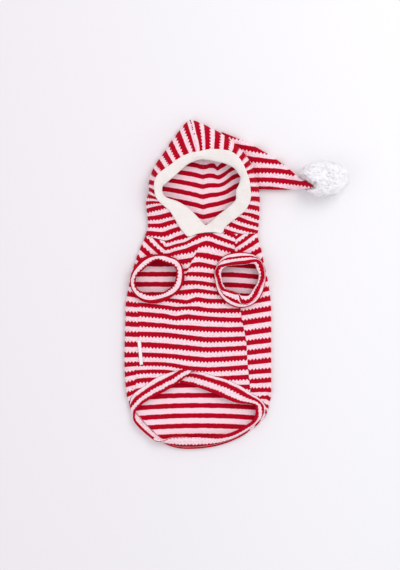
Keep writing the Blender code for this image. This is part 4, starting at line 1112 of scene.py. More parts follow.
@dataclass
class Armhole:
    """An armhole and its standing, folded knit band."""

    name: str
    x: float
    y: float
    rows: Sequence[NamedTuple]
    width: float  # of the folded band
    height: float
    fringe: float = 0.0  # plan steps from the last colour to the band's free edge
    wall: float = 0.0044
    bulge: float = 0.0013
    round: float = 0.0018
    radius: float = 0.030  # about where the band's teeth are counted
    swell: tuple[float, float, float] = (0.0014, 279, 14)  # more height, opposite an angle; reach
    overlap: tuple[float, ...] = (0.0016, 269, 4, 330, 50)  # more height between two angles

    def __post_init__(self) -> None:
        """Joins the band's rows round the turn."""
        self.curve = Curve.closed(self.rows)

    def reach(self, x: float, y: float) -> tuple[float, float]:
        """A place's distance from the centre, and the seam's distance on the same ray."""
        angle = math.degrees(math.atan2(y - self.y, x - self.x)) % 360
        outer = self.curve.at(angle).outer * PLAN_STEP
        return math.hypot(x - self.x, y - self.y), outer - self.bulge

    def snap(self, x: float, y: float, near: float) -> tuple[float, float]:
        """Moves a place that is near the seam onto it."""
        distance, seam = self.reach(x, y)
        if distance < seam + near and distance > seam - near:
            scale = seam / distance
            return self.x + (x - self.x) * scale, self.y + (y - self.y) * scale
        return x, y

    def starts(self, angle: float) -> list[float]:
        """The distances at which the band's colours start, from the outside to its edge."""
        starts = [reach * PLAN_STEP for reach in self.curve.at(angle % 360)[1:]]
        if self.fringe:
            starts.append(starts[-1] - self.fringe * PLAN_STEP)
        for i in range(1, len(starts)):
            starts[i] = min(starts[i], starts[i - 1] - 0.00005)
        return starts

    def mark(self, starts: Sequence[float], across: float) -> float:
        """A place's number of colours from the band's outside."""
        last = len(starts) - 2
        i = next((i for i in range(last) if across >= starts[i + 1]), last)
        return i + (starts[i] - across) / (starts[i] - starts[i + 1])

    def section(self, outer: float, edge: float, base: float, stand: float) -> Curve:
        """The band's section.

        Args:
            outer: the distance of its outside from the armhole's centre.
            edge: the distance of its free edge.
            base: the height of the cloth that it stands on.
            stand: how far it stands up.

        Returns:
            The section from the seam's outside over the free edge to the inside.
        """
        seam, top = outer - self.bulge - SEAM_GAP, base + stand
        inner = seam - self.wall
        points = (
            (seam, base - WALL),
            (mix(seam, outer, 0.5), base + WALL / 3),
            (outer, base + WALL),
            (outer - 0.0002, base + stand * 0.62),
            (mix(outer, edge, 0.30), base + stand * 0.90),
            (mix(outer, edge, 0.68), top),
            (edge, top - self.round),
            (edge + self.round, top - 2 * self.round),
            (inner, base + stand * 0.28),
            (inner, base - WALL),
        )
        return Curve([SectionPoint(*point) for point in points])

    def stand(self, angle: float) -> float:
        """How far the band stands up, with its overlap on the right armhole.

        Args:
            angle: the angle in degrees.

        Returns:
            Its height over the cloth.
        """
        if self.fringe:
            return self.height
        rise, across, reach = self.swell
        swell = rise * math.exp(-((((angle - across) % 360 - 180) / reach) ** 2))
        rise, start, start_run, end, end_run = self.overlap
        turn = angle % 360
        overlap = rise * smoothstep((turn - start) / start_run)
        overlap *= smoothstep((end - turn) / end_run)
        return self.height + swell + overlap

    def ring(self, angle: float, along: float) -> Ring:
        """One ring of the band.

        Args:
            angle: its angle in degrees.
            along: its place in the knit.

        Returns:
            The ring.
        """
        way = Vector((math.cos(math.radians(angle)), math.sin(math.radians(angle))))
        centre = Vector((self.x, self.y))
        starts = self.starts(angle)
        seam = centre + way * (starts[0] - self.bulge)
        base = top_height(seam.x, seam.y)
        section = self.section(starts[0], starts[-1], base, self.stand(angle))
        ring = []
        for step in range(61):
            place = 9 * step / 60
            point = section.at(place)
            flat = centre + way * point.across
            if place < 2:
                mark = (place - 2) * 0.2
            elif place <= 6:
                mark = self.mark(starts, point.across)
            else:
                mark = len(starts) - 1 + (place - 6) * 0.4
            ring.append((Vector((flat.x, flat.y, point.height)), (along, mark)))
        return ring + [(ring[0][0], (along, len(starts) + 0.4))]

    def build(self, material: bpy.types.Material) -> bpy.types.Object:
        """Builds and dresses the band.

        Args:
            material: its finish.

        Returns:
            The piece.
        """
        steps = 150
        teeth = round(2 * math.pi * self.radius / TOOTH)
        rings = [self.ring(360 * i / steps, teeth * i / steps) for i in range(steps + 1)]
        band = tube_object(f"armhole_cuff_{self.name}", rings, material, closed=True)
        settle(band, "striped_knit", f"armhole_band_{self.name}")
        return band


@dataclass
class Body:
    """The back and belly panels, with their armholes."""

    armholes: Sequence[Armhole]
    wardrobe: Wardrobe
    snap_reach: float = 0.0009  # columns of the cloth this near an armhole's seam move onto it
    armhole_slack: float = 0.00005
    under_height: float = 0.0046  # below it the cloth is the back panel's underside
    neck_clearance: float = 0.0004
    hem_turn: float = 0.012  # where the cloth starts to turn towards the hem
    mouth: tuple[float, float] = (-0.055, -0.165)
    back: list[tuple[float, list[ClothPoint]]] = field(init=False)  # hem places and columns
    belly: list[tuple[float | None, list[ClothPoint]]] = field(init=False)

    def snapped(self, x: float, y: float) -> tuple[float, float]:
        """A place of the top layer, moved onto an armhole's seam where it is near one."""
        for armhole in self.armholes:
            x, y = armhole.snap(x, y, self.snap_reach)
        return x, y

    def stays(self, middle: Vector) -> bool:
        """Whether a face of the top layer lies outside the armholes."""
        if middle.z < self.under_height:
            return True
        reaches = (armhole.reach(middle.x, middle.y) for armhole in self.armholes)
        return all(distance >= seam - self.armhole_slack for distance, seam in reaches)

    def turn_into_hem(self, start: Vector, place: float, steps: int) -> list[Vector]:
        """The last points of a column, over the rolled edge to the hem seam.

        Args:
            start: the last point before them.
            place: the hem place that they run to.
            steps: how many they are.

        Returns:
            The points.
        """
        seam = hem_seam(place)
        outward = Vector((seam.x - self.mouth[0], seam.y - self.mouth[1], 0)).normalized()
        flare = HEM.at(place).flare
        corner = start.lerp(seam, 0.5)
        if flare >= SEAM_GAP:
            corner = seam + outward * 2 * flare
            corner.z = 0.0
        parts = [step / steps for step in range(1, steps + 1)]
        return [start * (1 - t) ** 2 + corner * 2 * t * (1 - t) + seam * t**2 for t in parts]

    def section(self, s: float) -> tuple[bool, str, float]:
        """Finds where a section line runs.

        Args:
            s: the line's number, from 0 at the left side seam to 32 at the right one.

        Returns:
            Whether it is on the left, its kind, and its share or its angle in degrees.
        """
        left = s <= 16
        s = s if left else 32 - s
        if s <= 3:
            return left, "wrap", s / 3
        if s <= 7:
            return left, "shoulder", 90 * (7 - s) / 4
        if s < 10:
            return left, "turn", 90 * (s - 7) / 3
        share = 0.5 - 0.5 * math.cos(math.pi * (s - 10) / 12)
        return left, "flat", share if left else 1 - share

    def back_point(self, section: tuple[bool, str, float], y: float) -> ClothPoint:
        """A point of the back panel's outer face.

        Args:
            section: the section line that it lies on.
            y: its height on the garment.

        Returns:
            The point with its place in the knit.
        """
        left, kind, share = section
        row = BODY.at(y)
        if kind == "flat":
            x = mix(row.left + FOLD_RADIUS, row.right - FOLD_RADIUS, share)
            marks = (x / TOOTH, wrap_phase((0, 3), share, y))
            return ClothPoint(Vector((x, y, 0)), marks, (x / TOOTH, back_inside_phase(x, y)))
        outer, side = (row.left, 1) if left else (row.right, -1)
        seam_in = (row.seam_left - row.left if left else row.right - row.seam_right) - SEAM_GAP / 2
        ends = (0, 1) if left else (3, 2)
        angle = math.radians(share)
        if kind == "turn":
            x = outer + side * (FOLD_RADIUS * (1 - math.cos(angle)))
            z = FOLD_RADIUS * (1 - math.sin(angle))
            phase = wrap_phase(ends, 0.0, y)
            around = FOLD_RADIUS * angle
        else:
            shoulder = kind == "shoulder"
            depth = SHOULDER * (1 - math.cos(angle)) if shoulder else mix(seam_in, SHOULDER, share)
            x, y = self.snapped(outer + side * depth, y)
            around = -(side * (x - outer))
            z = top_height(x, y)
            phase = wrap_phase(ends, min(max(-around / seam_in, 0.0), 1.0), y)
        marks = ((outer - side * around) / TOOTH, phase)
        return ClothPoint(Vector((x, y, z)), marks, (x / TOOTH, back_inside_phase(x, y)))

    def hem_place(self, s: float) -> float:
        """The hem place that a section line runs to."""
        i = min(int(s), len(BACK_HEM_ROWS) - 2)
        return mix(BACK_HEM_ROWS[i], BACK_HEM_ROWS[i + 1], s - i)

    def back_column(self, s: float) -> list[ClothPoint]:
        """A column of the back panel from the neckline to the hem seam.

        Args:
            s: the number of the section line that it follows.

        Returns:
            Its points.
        """
        section = self.section(s)
        place = self.hem_place(s)
        neck_curve = NECK_UNDER_CURVE if section[1] in ("flat", "turn") else NECK_TOP_CURVE
        neck_x = self.back_point(section, NECK_UNDER[0].y).place.x
        neck = neck_curve.at(neck_x).y - self.neck_clearance
        start_y = hem_seam(place).y + self.hem_turn
        rows = 150
        column = [self.back_point(section, mix(neck, start_y, i / rows)) for i in range(rows + 1)]
        last = column[-1]
        ahead = last.outside[1] - column[-2].outside[1]
        pitch = (column[-2].place - last.place).length
        before = last.place
        travelled = 0.0
        for point in self.turn_into_hem(last.place, place, 9):
            travelled += (point - before).length
            before = point
            phase = last.outside[1] + ahead * travelled / pitch
            inside = (point.x / TOOTH, back_inside_phase(point.x, point.y))
            column.append(ClothPoint(point, (last.outside[0], phase), inside))
        shift = self.roll_shift(place, column[-1].outside[1])
        if shift:
            for i, point in enumerate(column):
                phase = point.outside[1] + shift * smoothstep((i - 60) / 70)
                column[i] = point._replace(outside=(point.outside[0], phase))
        return column

    def roll_shift(self, place: float, phase: float) -> float:
        """How far the stripes shift so that a red one lies on the rolled edge at the bottom."""
        first, last, wanted = ROLL_RED
        strength = smoothstep((place - first) / 1.5) * smoothstep((last - place) / 3)
        return (wanted - phase) * strength

    def back_places(self) -> list[float]:
        """The section lines of the back panel."""
        counts = ((0, 3, 20), (3, 7, 9), (7, 10, 5), (10, 22, 56), (22, 25, 5), (25, 29, 9))
        places = [mix(low, high, i / count) for low, high, count in counts for i in range(count)]
        return places + [mix(29, 32, i / 24) for i in range(25)]

    def belly_ends(self) -> list[tuple[float | None, Vector]]:
        """Hem places and seam points that the belly's columns run to, from left to right."""
        places = [LEFT_SEAM_ROW - SIDE_SEAM_STEP - i * 6.96 / 42 for i in range(43)]
        left = [(place, hem_seam(place)) for place in places]
        right = [(PEAK_ROW - i * 3.96 / 36, hem_seam(PEAK_ROW - i * 3.96 / 36)) for i in range(37)]
        peak = [(None, left[-1][1].lerp(right[0][1], i / 14)) for i in range(1, 14)]
        return left + peak + right

    def belly_column(self, end: Vector) -> list[ClothPoint]:
        """A column of the belly from the neckline to the hem seam.

        Args:
            end: its point at the hem seam.

        Returns:
            Its points.
        """
        start_y = end.y + self.hem_turn
        row = BODY.at(start_y)
        share = (end.x - row.seam_left) / (row.seam_right - row.seam_left)
        share = min(max(share, 0.0), 1.0)

        def x_at(y: float) -> float:
            """The column's place across at a height."""
            sides = BODY.at(y)
            return mix(sides.seam_left + SEAM_GAP / 2, sides.seam_right - SEAM_GAP / 2, share)

        neck = NECK_TOP_CURVE.at(x_at(NECK_UNDER[0].y)).y - self.neck_clearance
        places = []
        for step in range(111):
            y = mix(neck, start_y, step / 110)
            x, y = self.snapped(x_at(y), y)
            places.append(Vector((x, y, top_height(x, y))))
        last = places[-1]
        places += [last.lerp(end, i / 7) for i in range(1, 8)]
        marks = [(place.x / TOOTH, belly_phase(place.x, place.y)) for place in places]
        return [ClothPoint(place, mark, mark) for place, mark in zip(places, marks)]

    def build(self) -> list[bpy.types.Object]:
        """Builds and dresses both panels."""
        self.back = [(self.hem_place(s), self.back_column(s)) for s in self.back_places()]
        self.belly = [(place, self.belly_column(end)) for place, end in self.belly_ends()]
        w = self.wardrobe
        columns = [column for _, column in reversed(self.back)]
        back = cloth_object("back_cloth", columns, w.back, w.inside, keep=self.stays)
        settle(back, "striped_knit", "back_panel")
        columns = [column for _, column in self.belly]
        belly = cloth_object("belly_cloth", columns, w.belly, w.inside, keep=self.stays)
        settle(belly, "striped_knit", "belly_panel")
        return [back, belly]

    def panel_ways(self) -> dict[float, Vector]:
        """The way the cloth runs at the hem seam, for each hem place that a column ends at."""
        ends = [(place, column) for place, column in self.back + self.belly if place is not None]
        return {place: column[-1].place - column[-2].place for place, column in ends}


@dataclass
class HemBand:
    """The folded band round the open hem, its left end over its right one."""

    body: Body
    thin: float = 0.0033
    swell: float = 0.0009
    corner: float = 1.7  # how far the inner side keeps off the panel's corner, in walls

    def section(self, place: float, way: Vector, panel_way: Vector) -> list[Vector]:
        """The band's corner points between its seam and its free edge.

        Args:
            place: the hem place.
            way: the way that the band runs.
            panel_way: the way that the panel runs to it.

        Returns:
            The points.
        """
        row = HEM.at(place)
        seam = Vector((row.seam_x, row.seam_y, max(row.seam_z, 0.0)))
        edge = Vector((row.edge_x, row.edge_y, row.edge_z))
        across = (edge - seam).normalized()
        width = (edge - seam).length
        out = way.cross(across).normalized()
        panel_inward = panel_way.cross(way).normalized()
        pinch_place, pinch_reach, pinch_share, pinch_start = HEM_PINCH
        pinch = math.exp(-(((place - pinch_place) / pinch_reach) ** 2))
        inner = 1 - pinch_share * pinch
        start = 2 * SEAM_GAP + pinch_start * pinch
        inner_start = start + self.corner * WALL * max(panel_inward.dot(across), 0.0)
        thick, swell = self.thin, self.swell
        corners = (
            (start, 0.0),
            (0.25 * width, swell),
            (0.75 * width, swell),
            (width - swell / 2, 0.0),
            (width, -thick / 3),
            (width - swell / 2, swell - thick),
            (0.75 * width, -thick),
            (max(0.25 * width, inner_start + swell), -thick * inner),
            (inner_start, -WALL * inner),
        )
        return [seam + across * along + out * height for along, height in corners]

    def mark(self, place: float, share: float) -> float:
        """A place's mark in the band's stripes.

        Args:
            place: the hem place.
            share: the share of the band's width, and past 1 on its inner side.

        Returns:
            The mark.
        """
        if share > 1:
            turned = HEM_TWIST[0] < place < HEM_TWIST[1] and share < 1.25
            return 1.4 if turned else share
        if place < 4:
            row = HEM.at(place)
            width = math.hypot(row.edge_x - row.seam_x, row.edge_y - row.seam_y)
            # Painted shadow: a thin red line along the slanting end stands in for the shade under
            # that edge.
            if (1 - share) * width < HEM_END_PAINTED_SHADOW * (4 - place) / 4:
                return 1.0
            lost = mix(HEM_END[int(place)], HEM_END[int(place) + 1], place % 1)
            share = min((share * width + lost) / HEM_FULL, 1.0)
        for low, high in zip(HEM_STRIPES, HEM_STRIPES[1:]):
            start, end = self.start(low, place), self.start(high, place)
            if share <= end:
                return mix(low[-1], high[-1], (share - start) / (end - start))
        return share

    def start(self, shares: Sequence[float], place: float) -> float:
        """The share of the band's width at which a stripe's edge lies."""
        start = shares[0]
        for share, (turn, run) in zip(shares[1:], HEM_STRIPE_TURNS):
            start = mix(start, share, smoothstep((place - turn) / run))
        return start

    def ring(self, points: Sequence[Vector], place: float, along: float) -> Ring:
        """One ring of the band.

        Args:
            points: its section's corner points.
            place: the hem place.
            along: its place in the knit.

        Returns:
            The ring.
        """
        ring = []
        for j, point in enumerate(points):
            parts = 7 if j in (0, 1, 2, 6) else 2
            for k in range(parts):
                spot = point.lerp(points[(j + 1) % len(points)], k / parts)
                spot.z = max(spot.z, 0.0)
                share = mix(HEM_SHARES[j], HEM_SHARES[j + 1], k / parts)
                ring.append((spot, (along, self.mark(place, share))))
        return ring + [(ring[0][0], (along, HEM_SHARES[-1]))]

    def build(self, material: bpy.types.Material) -> bpy.types.Object:
        """Builds and dresses the band.

        Args:
            material: its finish.

        Returns:
            The piece.
        """
        ways = self.body.panel_ways()
        known = sorted(ways)
        steps = 420
        places = [(len(HEM_LOOP) - 1) * i / steps for i in range(steps + 1)]
        rows = [HEM.at(place) for place in places]
        rings = []
        travelled = 0.0
        for i, place in enumerate(places):
            a, b = rows[max(i - 1, 0)], rows[min(i + 1, steps)]
            way = Vector(b[k] - a[k] + b[k + 3] - a[k + 3] for k in range(3))
            travelled += way.length / 4
            nearest = min(known, key=lambda known_place: abs(known_place - place))
            points = self.section(place, way, ways[nearest])
            rings.append(self.ring(points, place, travelled / TOOTH))
        band = tube_object("hem_cuff", rings, material, closed=False)
        settle(band, "striped_knit", "hem_band")
        return band


class HoodSide(Enum):
    """The hood's two halves."""

    LEFT = -1
    RIGHT = 1


@dataclass
class Hood:
    """The hood's two halves, from the face trim over the side folds to the back seam."""

    wardrobe: Wardrobe
    seam_x: float = -0.047
    seam_bend: tuple[float, float] = (0.190, 0.018)  # height where the back seam turns, and reach
    neck_rows: int = 4  # rows over which the hood leaves the neckline

    def __post_init__(self) -> None:
        """Joins the rows of both halves and finds their stripes."""
        self.curves = {HoodSide.LEFT: Curve(HOOD_LEFT), HoodSide.RIGHT: Curve(HOOD_RIGHT)}
        stripes = {HoodSide.LEFT: HOOD_LEFT_STRIPES, HoodSide.RIGHT: HOOD_RIGHT_STRIPES}
        self.stripes = {half: self.stripe_places(half, stripes[half]) for half in HoodSide}

    def stripe_places(self, half: HoodSide, stripes: Sequence[Sequence]) -> list[list[float]]:
        """Finds the rows at which a half's stripes meet the silhouette and the trim.

        Args:
            half: which half.
            stripes: both ends of each stripe on the plan.

        Returns:
            The rows at the silhouette and at the trim, each past the one before.
        """
        curve = self.curves[half]
        rows = [(i / 20, curve.at(i / 20)) for i in range((len(curve.rows) - 1) * 20 + 1)]
        found = []
        for end, first in ((0, 1), (1, 3)):
            places = []
            for stripe in stripes:
                spot = on_plan(*stripe[end])
                gap = [(Vector(row[first : first + 2]) - spot).length for _, row in rows]
                place = rows[gap.index(min(gap))][0]
                places.append(max(place, places[-1] + 0.15) if places else place)
            found.append(places)
        return found

    def phase(self, half: HoodSide, row: float, share: float) -> float:
        """How many stripes lie before a place, share 0 at the silhouette and 1 at the trim."""
        columns = self.stripes[half]
        counts = [phase_in(column, row, column[-1] - column[-2], 0.5) for column in columns]
        return mix(*counts, share)

    def back_seam_x(self, y: float) -> float:
        """The centre back seam's place at a height of the hood."""
        start, sideways = self.seam_bend
        return self.seam_x - sideways * smoothstep((y - start) / (HOOD_LEFT[-1].back_y - start))

    def point(self, half: HoodSide, index: float, kind: str, share: float) -> ClothPoint:
        """A point of one half's outer face.

        Args:
            half: which half.
            index: the place between the rows of its table.
            kind: over the front, round the turn or on the flat back.
            share: an angle in degrees on the front and the turn, a share on the back.

        Returns:
            The point with its place in the knit.
        """
        curve = self.curves[half]
        first, row = curve.rows[0], curve.at(index)
        clear = half.value * SEAM_GAP / 2
        edge = trim_edge(row)
        rim = Vector((edge.x + clear, edge.y, row.rim_z))
        side = Vector((row.side_x + clear, row.side_y, FOLD_RADIUS))
        back = Vector((self.back_seam_x(row.back_y) + clear, row.back_y, 0.0))
        under = (back - side).to_2d()
        angle = math.radians(share)
        if kind == "over":
            inward = 1 - math.cos(angle)
            point = side.lerp(rim, inward)
            point.z = mix(FOLD_RADIUS, row.rim_z, math.sin(angle))
            leave = 1 - min(index / self.neck_rows, 1.0)
            if leave > 0:
                neck_x = mix(first.side_x, first.rim_x, inward)
                neck = NECK_TOP_CURVE.at(neck_x).y
                point.y += (neck - mix(first.side_y, first.rim_y, inward)) * leave
                point.z = mix(point.z, top_height(neck_x, neck), leave)
            along = (rim - side).length * inward / TOOTH
            marks = (along, self.phase(half, index, inward))
            return ClothPoint(point, marks, marks)
        turned = side.to_2d() + under.normalized() * FOLD_RADIUS
        if kind == "turn":
            flat = side.to_2d().lerp(turned, 1 - math.cos(angle))
            height = FOLD_RADIUS * (1 - math.sin(angle))
            around = FOLD_RADIUS * angle
        else:
            flat = turned.lerp(back.to_2d(), share)
            height = 0.0
            around = FOLD_RADIUS * math.pi / 2 + (flat - turned).length
        place = Vector((*flat, height))
        lines = striped(HOOD_INSIDE_STRIPES, HOOD_INSIDE_ACROSS, *to_plan(place.x, place.y))
        outside = (-around / TOOTH, self.phase(half, index, 0.0))
        return ClothPoint(place, outside, (around / TOOTH, lines))

    def columns(self, half: HoodSide) -> list[list[ClothPoint]]:
        """The columns of one half, from the trim to the back seam."""
        runs = [("over", 90 - 90 * i / 28) for i in range(28)]
        runs += [("turn", 90 * i / 6) for i in range(6)]
        runs += [("flat", i / 26) for i in range(27)]
        rows = [i / 7 for i in range((len(self.curves[half].rows) - 1) * 7 + 1)]
        return [[self.point(half, row, kind, share) for row in rows] for kind, share in runs]

    def build(self) -> list[bpy.types.Object]:
        """Builds and dresses both halves."""
        pieces = []
        for half in HoodSide:
            columns = self.columns(half)[:: -half.value]  # from right to left on both halves
            side = half.name.lower()
            w = self.wardrobe
            piece = cloth_object(f"hood_cloth_{side}", columns, w.hood, w.inside)
            settle(piece, "striped_knit", f"hood_{side}")
            pieces.append(piece)
        return pieces


@dataclass
class FaceTrim:
    """The rolled fleece round the hood's face opening."""

    thickness: float = 0.0062
    droop: float = 0.55  # how far the inner edge lies below the rim, in thicknesses
    foot_gap: float = 0.0010
    steep_rise: float = 0.012

    def __post_init__(self) -> None:
        """Closes the roll's section and joins its places once round the face."""
        left = [TrimRow(*row[3:]) for row in reversed(HOOD_LEFT)]
        right = [TrimRow(*row[3:]) for row in HOOD_RIGHT[:-1]]
        self.section = self.looped(TRIM_SECTION)
        self.rows = [*left, *TRIM_FOOT, *right]
        self.curve = self.looped(self.rows)

    def looped(self, rows: Sequence[NamedTuple]) -> Curve:
        """A curve that starts two rows early and ends as far past a full round."""
        return Curve([rows[i % len(rows)] for i in range(-2, len(rows) + 3)])

    def ring(self, row: TrimRow, along: float) -> Ring:
        """One ring of the roll.

        Args:
            row: the place of the trim.
            along: its place in the fleece.

        Returns:
            The ring.
        """
        rim = Vector((*trim_edge(row), row.rim_z - WALL / 2))
        face = Vector((row.face_x, row.face_y, row.rim_z - self.thickness * self.droop))
        inward = (face - rim).normalized()
        steep = 1 - smoothstep((row.rim_z - TRIM_FOOT[0].rim_z) / self.steep_rise)
        foot = (self.foot_gap - 2 * SEAM_GAP) * steep
        width = (face - rim).length
        count = len(TRIM_SECTION)
        ring = []
        for step in range(3 * count + 1):
            share, inset, rise = self.section.at(2 + (step / 3) % count)
            inset += foot * (1 - share) if inset > 0 else foot * 1.5
            point = rim + inward * (share * width + inset)
            point.z += rise * (1 - 0.12 * steep)
            wave = noise.noise(point * 70) * 0.0011 + noise.noise(point * 240) * 0.0004
            point.z += wave * abs(rise) / 0.0035
            ring.append((point, (along, step / 3 / count)))
        return ring

    def build(self, material: bpy.types.Material) -> bpy.types.Object:
        """Builds and dresses the trim.

        Args:
            material: its finish.

        Returns:
            The piece.
        """
        steps, count = 340, len(self.rows)
        rings = [
            self.ring(self.curve.at(2 + (i % steps) / steps * count), 80 * i / steps)
            for i in range(steps + 1)
        ]
        trim = tube_object("fleece_trim", rings, material, closed=True)
        settle(trim, "cream_fleece", "face_trim")
        return trim


@dataclass
class Tail:
    """The hood's long tapering tail."""

    round_side: float = 0.7  # the section's bluntness at its sides, over and under
    round_top: float = 0.55
    round_under: float = 0.3
    gap: float = 0.0004
    wall: float = 0.0018
    on_hood: tuple[float, float] = (16.4, 8.0)  # rows of the hood that the base is sewn to

    def base(self, across: float) -> Vector:
        """A point beside the hood's side, from the tail's upper edge to its lower one."""
        place = mix(*self.on_hood, across)
        row, before, after = (HOOD_SIDE_CURVE.at(place + step) for step in (0.0, -0.1, 0.1))
        way = Vector(b - a for a, b in zip(before[1:3], after[1:3])).normalized()
        return Vector((row.side_x + way.y * self.gap, row.side_y - way.x * self.gap))

    def ring(self, share: float) -> Ring:
        """One section of the tail.

        Args:
            share: its share of the tail's length.

        Returns:
            The section.
        """
        row, first = TAIL_CURVE.at(share * (len(TAIL_ROWS) - 1)), TAIL_ROWS[0]
        middle = (row.top + row.bottom) / 2
        ring = []
        for step in range(57):
            angle = 2 * math.pi * step / 56
            wide, high = math.cos(angle), math.sin(angle)
            across = 0.5 - 0.5 * math.copysign(abs(wide) ** self.round_side, wide)
            place = Vector(row[:2]).lerp(Vector(row[2:4]), across)
            straight = Vector(first[:2]).lerp(Vector(first[2:4]), across)
            place += (self.base(across) - straight) * (1 - share) ** 2
            rise = abs(high) ** (self.round_top if high > 0 else self.round_under)
            height = max(mix(middle, row.top if high > 0 else row.bottom, rise), 0.0)
            phase = striped(TAIL_STRIPES, TAIL_ACROSS, *to_plan(place.x, place.y))
            ring.append((Vector((*place, height)), (place.x / TOOTH, phase)))
        return ring

    def build(self, material: bpy.types.Material) -> bpy.types.Object:
        """Builds and dresses the tail.

        Args:
            material: its finish.

        Returns:
            The piece.
        """
        rings = [self.ring(i / 80) for i in range(81)]
        columns = [[ClothPoint(*point, point[1]) for point in line] for line in zip(*rings)]
        tail = cloth_object("tail_cloth", columns, material, material, wall=self.wall)
        settle(tail, "striped_knit", "hood_tail")
        return tail


@dataclass
class Pompom:
    """The yarn pompom under the tail's tip."""

    centre: tuple[float, float, float] = (0.1210, 0.1470, 0.0262)
    core: tuple[float, float, float] = (0.0342, 0.0246, 0.0232)
    reach: tuple[float, float, float] = (0.0368, 0.0267, 0.0253)
    strands: int = 7000
    root_radius: float = 0.00034
    middle_radius: float = 0.00026
    floor: float = 0.0008
    tip_clearance: float = 0.0012

    def way(self, index: int) -> Vector:
        """The way a strand stands, spread evenly over a ball."""
        height = 1 - 2 * (index + 0.5) / self.strands
        turn = index * math.pi * (3 - math.sqrt(5))
        flat = math.sqrt(1 - height * height)
        return Vector((flat * math.cos(turn), flat * math.sin(turn), height))

    def lump(self, way: Vector) -> float:
        """How far the pompom reaches this way, as a share."""
        soft = 0.06 * noise.noise(way * 2.3) + 0.035 * noise.noise(way * 5.1 + Vector((3, 1, 2)))
        return 1 + soft + 0.015 * noise.noise(way * 13.0) + 0.008 * noise.noise(way * 31.0)

    def ceiling(self, x: float, y: float) -> float:
        """The height that the tail's tip leaves free, rising beside it."""
        place = min(max(bisect_right([row.upper_x for row in TAIL_ROWS], x) - 1, 0), 6)
        first, second = TAIL_ROWS[place : place + 2]
        part = min(max((x - first.upper_x) / (second.upper_x - first.upper_x), 0.0), 1.0)
        row = TAIL_CURVE.at(place + part)
        beside = max(row.lower_y - y, y - row.upper_y, 0.0)
        away = math.hypot(beside, max(x - row.upper_x, 0.0))
        return row.bottom - self.tip_clearance + 2.4 * max(away - 0.0004, 0.0)

    def surface(self, way: Vector, size: Sequence[float], share: float) -> Vector:
        """A point over the middle, on an uneven ball of this size."""
        reach = self.lump(way) * share
        point = Vector(c + w * s * reach for c, w, s in zip(self.centre, way, size))
        tuft = 0.0022 * abs(noise.noise(way * 13.0)) + 0.0012 * abs(noise.noise(way * 37.0))
        point.z = max(min(point.z, self.ceiling(point.x, point.y) - tuft), self.floor)
        return point

    def build(self, material: bpy.types.Material) -> bpy.types.Object:
        """Builds and dresses the ball and its strands as one piece.

        Args:
            material: its finish.

        Returns:
            The piece.
        """
        bm = bmesh.new()
        bmesh.ops.create_icosphere(bm, subdivisions=6, radius=1)
        for vert in bm.verts:
            vert.co = self.surface(vert.co.normalized(), self.core, 1.0)
        for index in range(self.strands):
            self.add_strand(bm, index)
        ball = mesh_object("yarn_pompom", bm, material)
        settle(ball, "pompom_yarn", "pompom")
        return ball

    def add_strand(self, bm: bmesh.types.BMesh, index: int) -> None:
        """Adds one tapered strand that leans along the core.

        Args:
            bm: the pompom's mesh.
            index: the strand's number.
        """
        way = self.way(index)
        seeds = (Vector((index * 0.37, shift, 0)) for shift in (0.0, 7.0, 13.0))
        wander = Vector(noise.noise(way * 9 + seed) for seed in seeds)
        length = 0.94 + 0.07 * noise.noise(Vector((index * 0.91, 4.0, 1.0)))
        root = self.surface(way, self.core, 0.97)
        middle = self.surface((way + wander * 0.30).normalized(), self.reach, length * 0.96)
        tip = self.surface((way + wander * 0.65).normalized(), self.reach, length)
        side = way.cross(Vector((0.3, 0.2, 1.0))).normalized()
        other = way.cross(side)
        turns = [2 * math.pi * corner / 3 for corner in range(3)]
        spokes = [side * math.cos(turn) + other * math.sin(turn) for turn in turns]
        ends = ((root, self.root_radius), (middle, self.middle_radius))
        low, high = ([bm.verts.new(at + spoke * size) for spoke in spokes] for at, size in ends)
        end = bm.verts.new(tip)
        for a, b in ((0, 1), (1, 2), (2, 0)):
            bm.faces.new((low[a], low[b], high[b], high[a]))
            bm.faces.new((high[a], high[b], end))


@dataclass
class PeakStitches:
    """The dark thread ends of the seam at the hood's peak."""

    spots: tuple[tuple[float, float], ...] = (
        *((190.3, 120.7), (190.9, 122.4), (191.4, 123.9), (192.0, 126.6)),
        *((192.4, 128.3), (192.8, 130.1), (194.4, 134.8)),
    )
    radius: float = 0.00088

    def build(self, hood: Hood, material: bpy.types.Material) -> bpy.types.Object:
        """Builds and dresses the stitches as one piece.

        Args:
            hood: the hood whose front they lie on.
            material: their finish.

        Returns:
            The piece.
        """
        columns = [column for half in HoodSide for column in hood.columns(half)[:24]]
        cloth = [point.place for column in columns for point in column[len(column) * 2 // 3 :]]
        bpy.ops.object.select_all(action="DESELECT")
        for number, (right, down) in enumerate(self.spots):
            spot = on_plan(right, down)
            under = min(cloth, key=lambda place: (place.to_2d() - spot).length)
            at = (*spot, under.z + self.radius / 3)
            bpy.ops.mesh.primitive_uv_sphere_add(
                segments=8, ring_count=6, radius=self.radius, location=at
            )
            if number == 0:
                bpy.ops.object.mode_set(mode="EDIT")
        bpy.ops.object.mode_set(mode="OBJECT")
        bpy.ops.object.transform_apply(location=True)
        stitches = bpy.context.active_object
        stitches.name = "peak_stitches"
        stitches.data.materials.append(material)
        bpy.ops.object.shade_smooth()
        settle(stitches, "striped_knit")
        return stitches


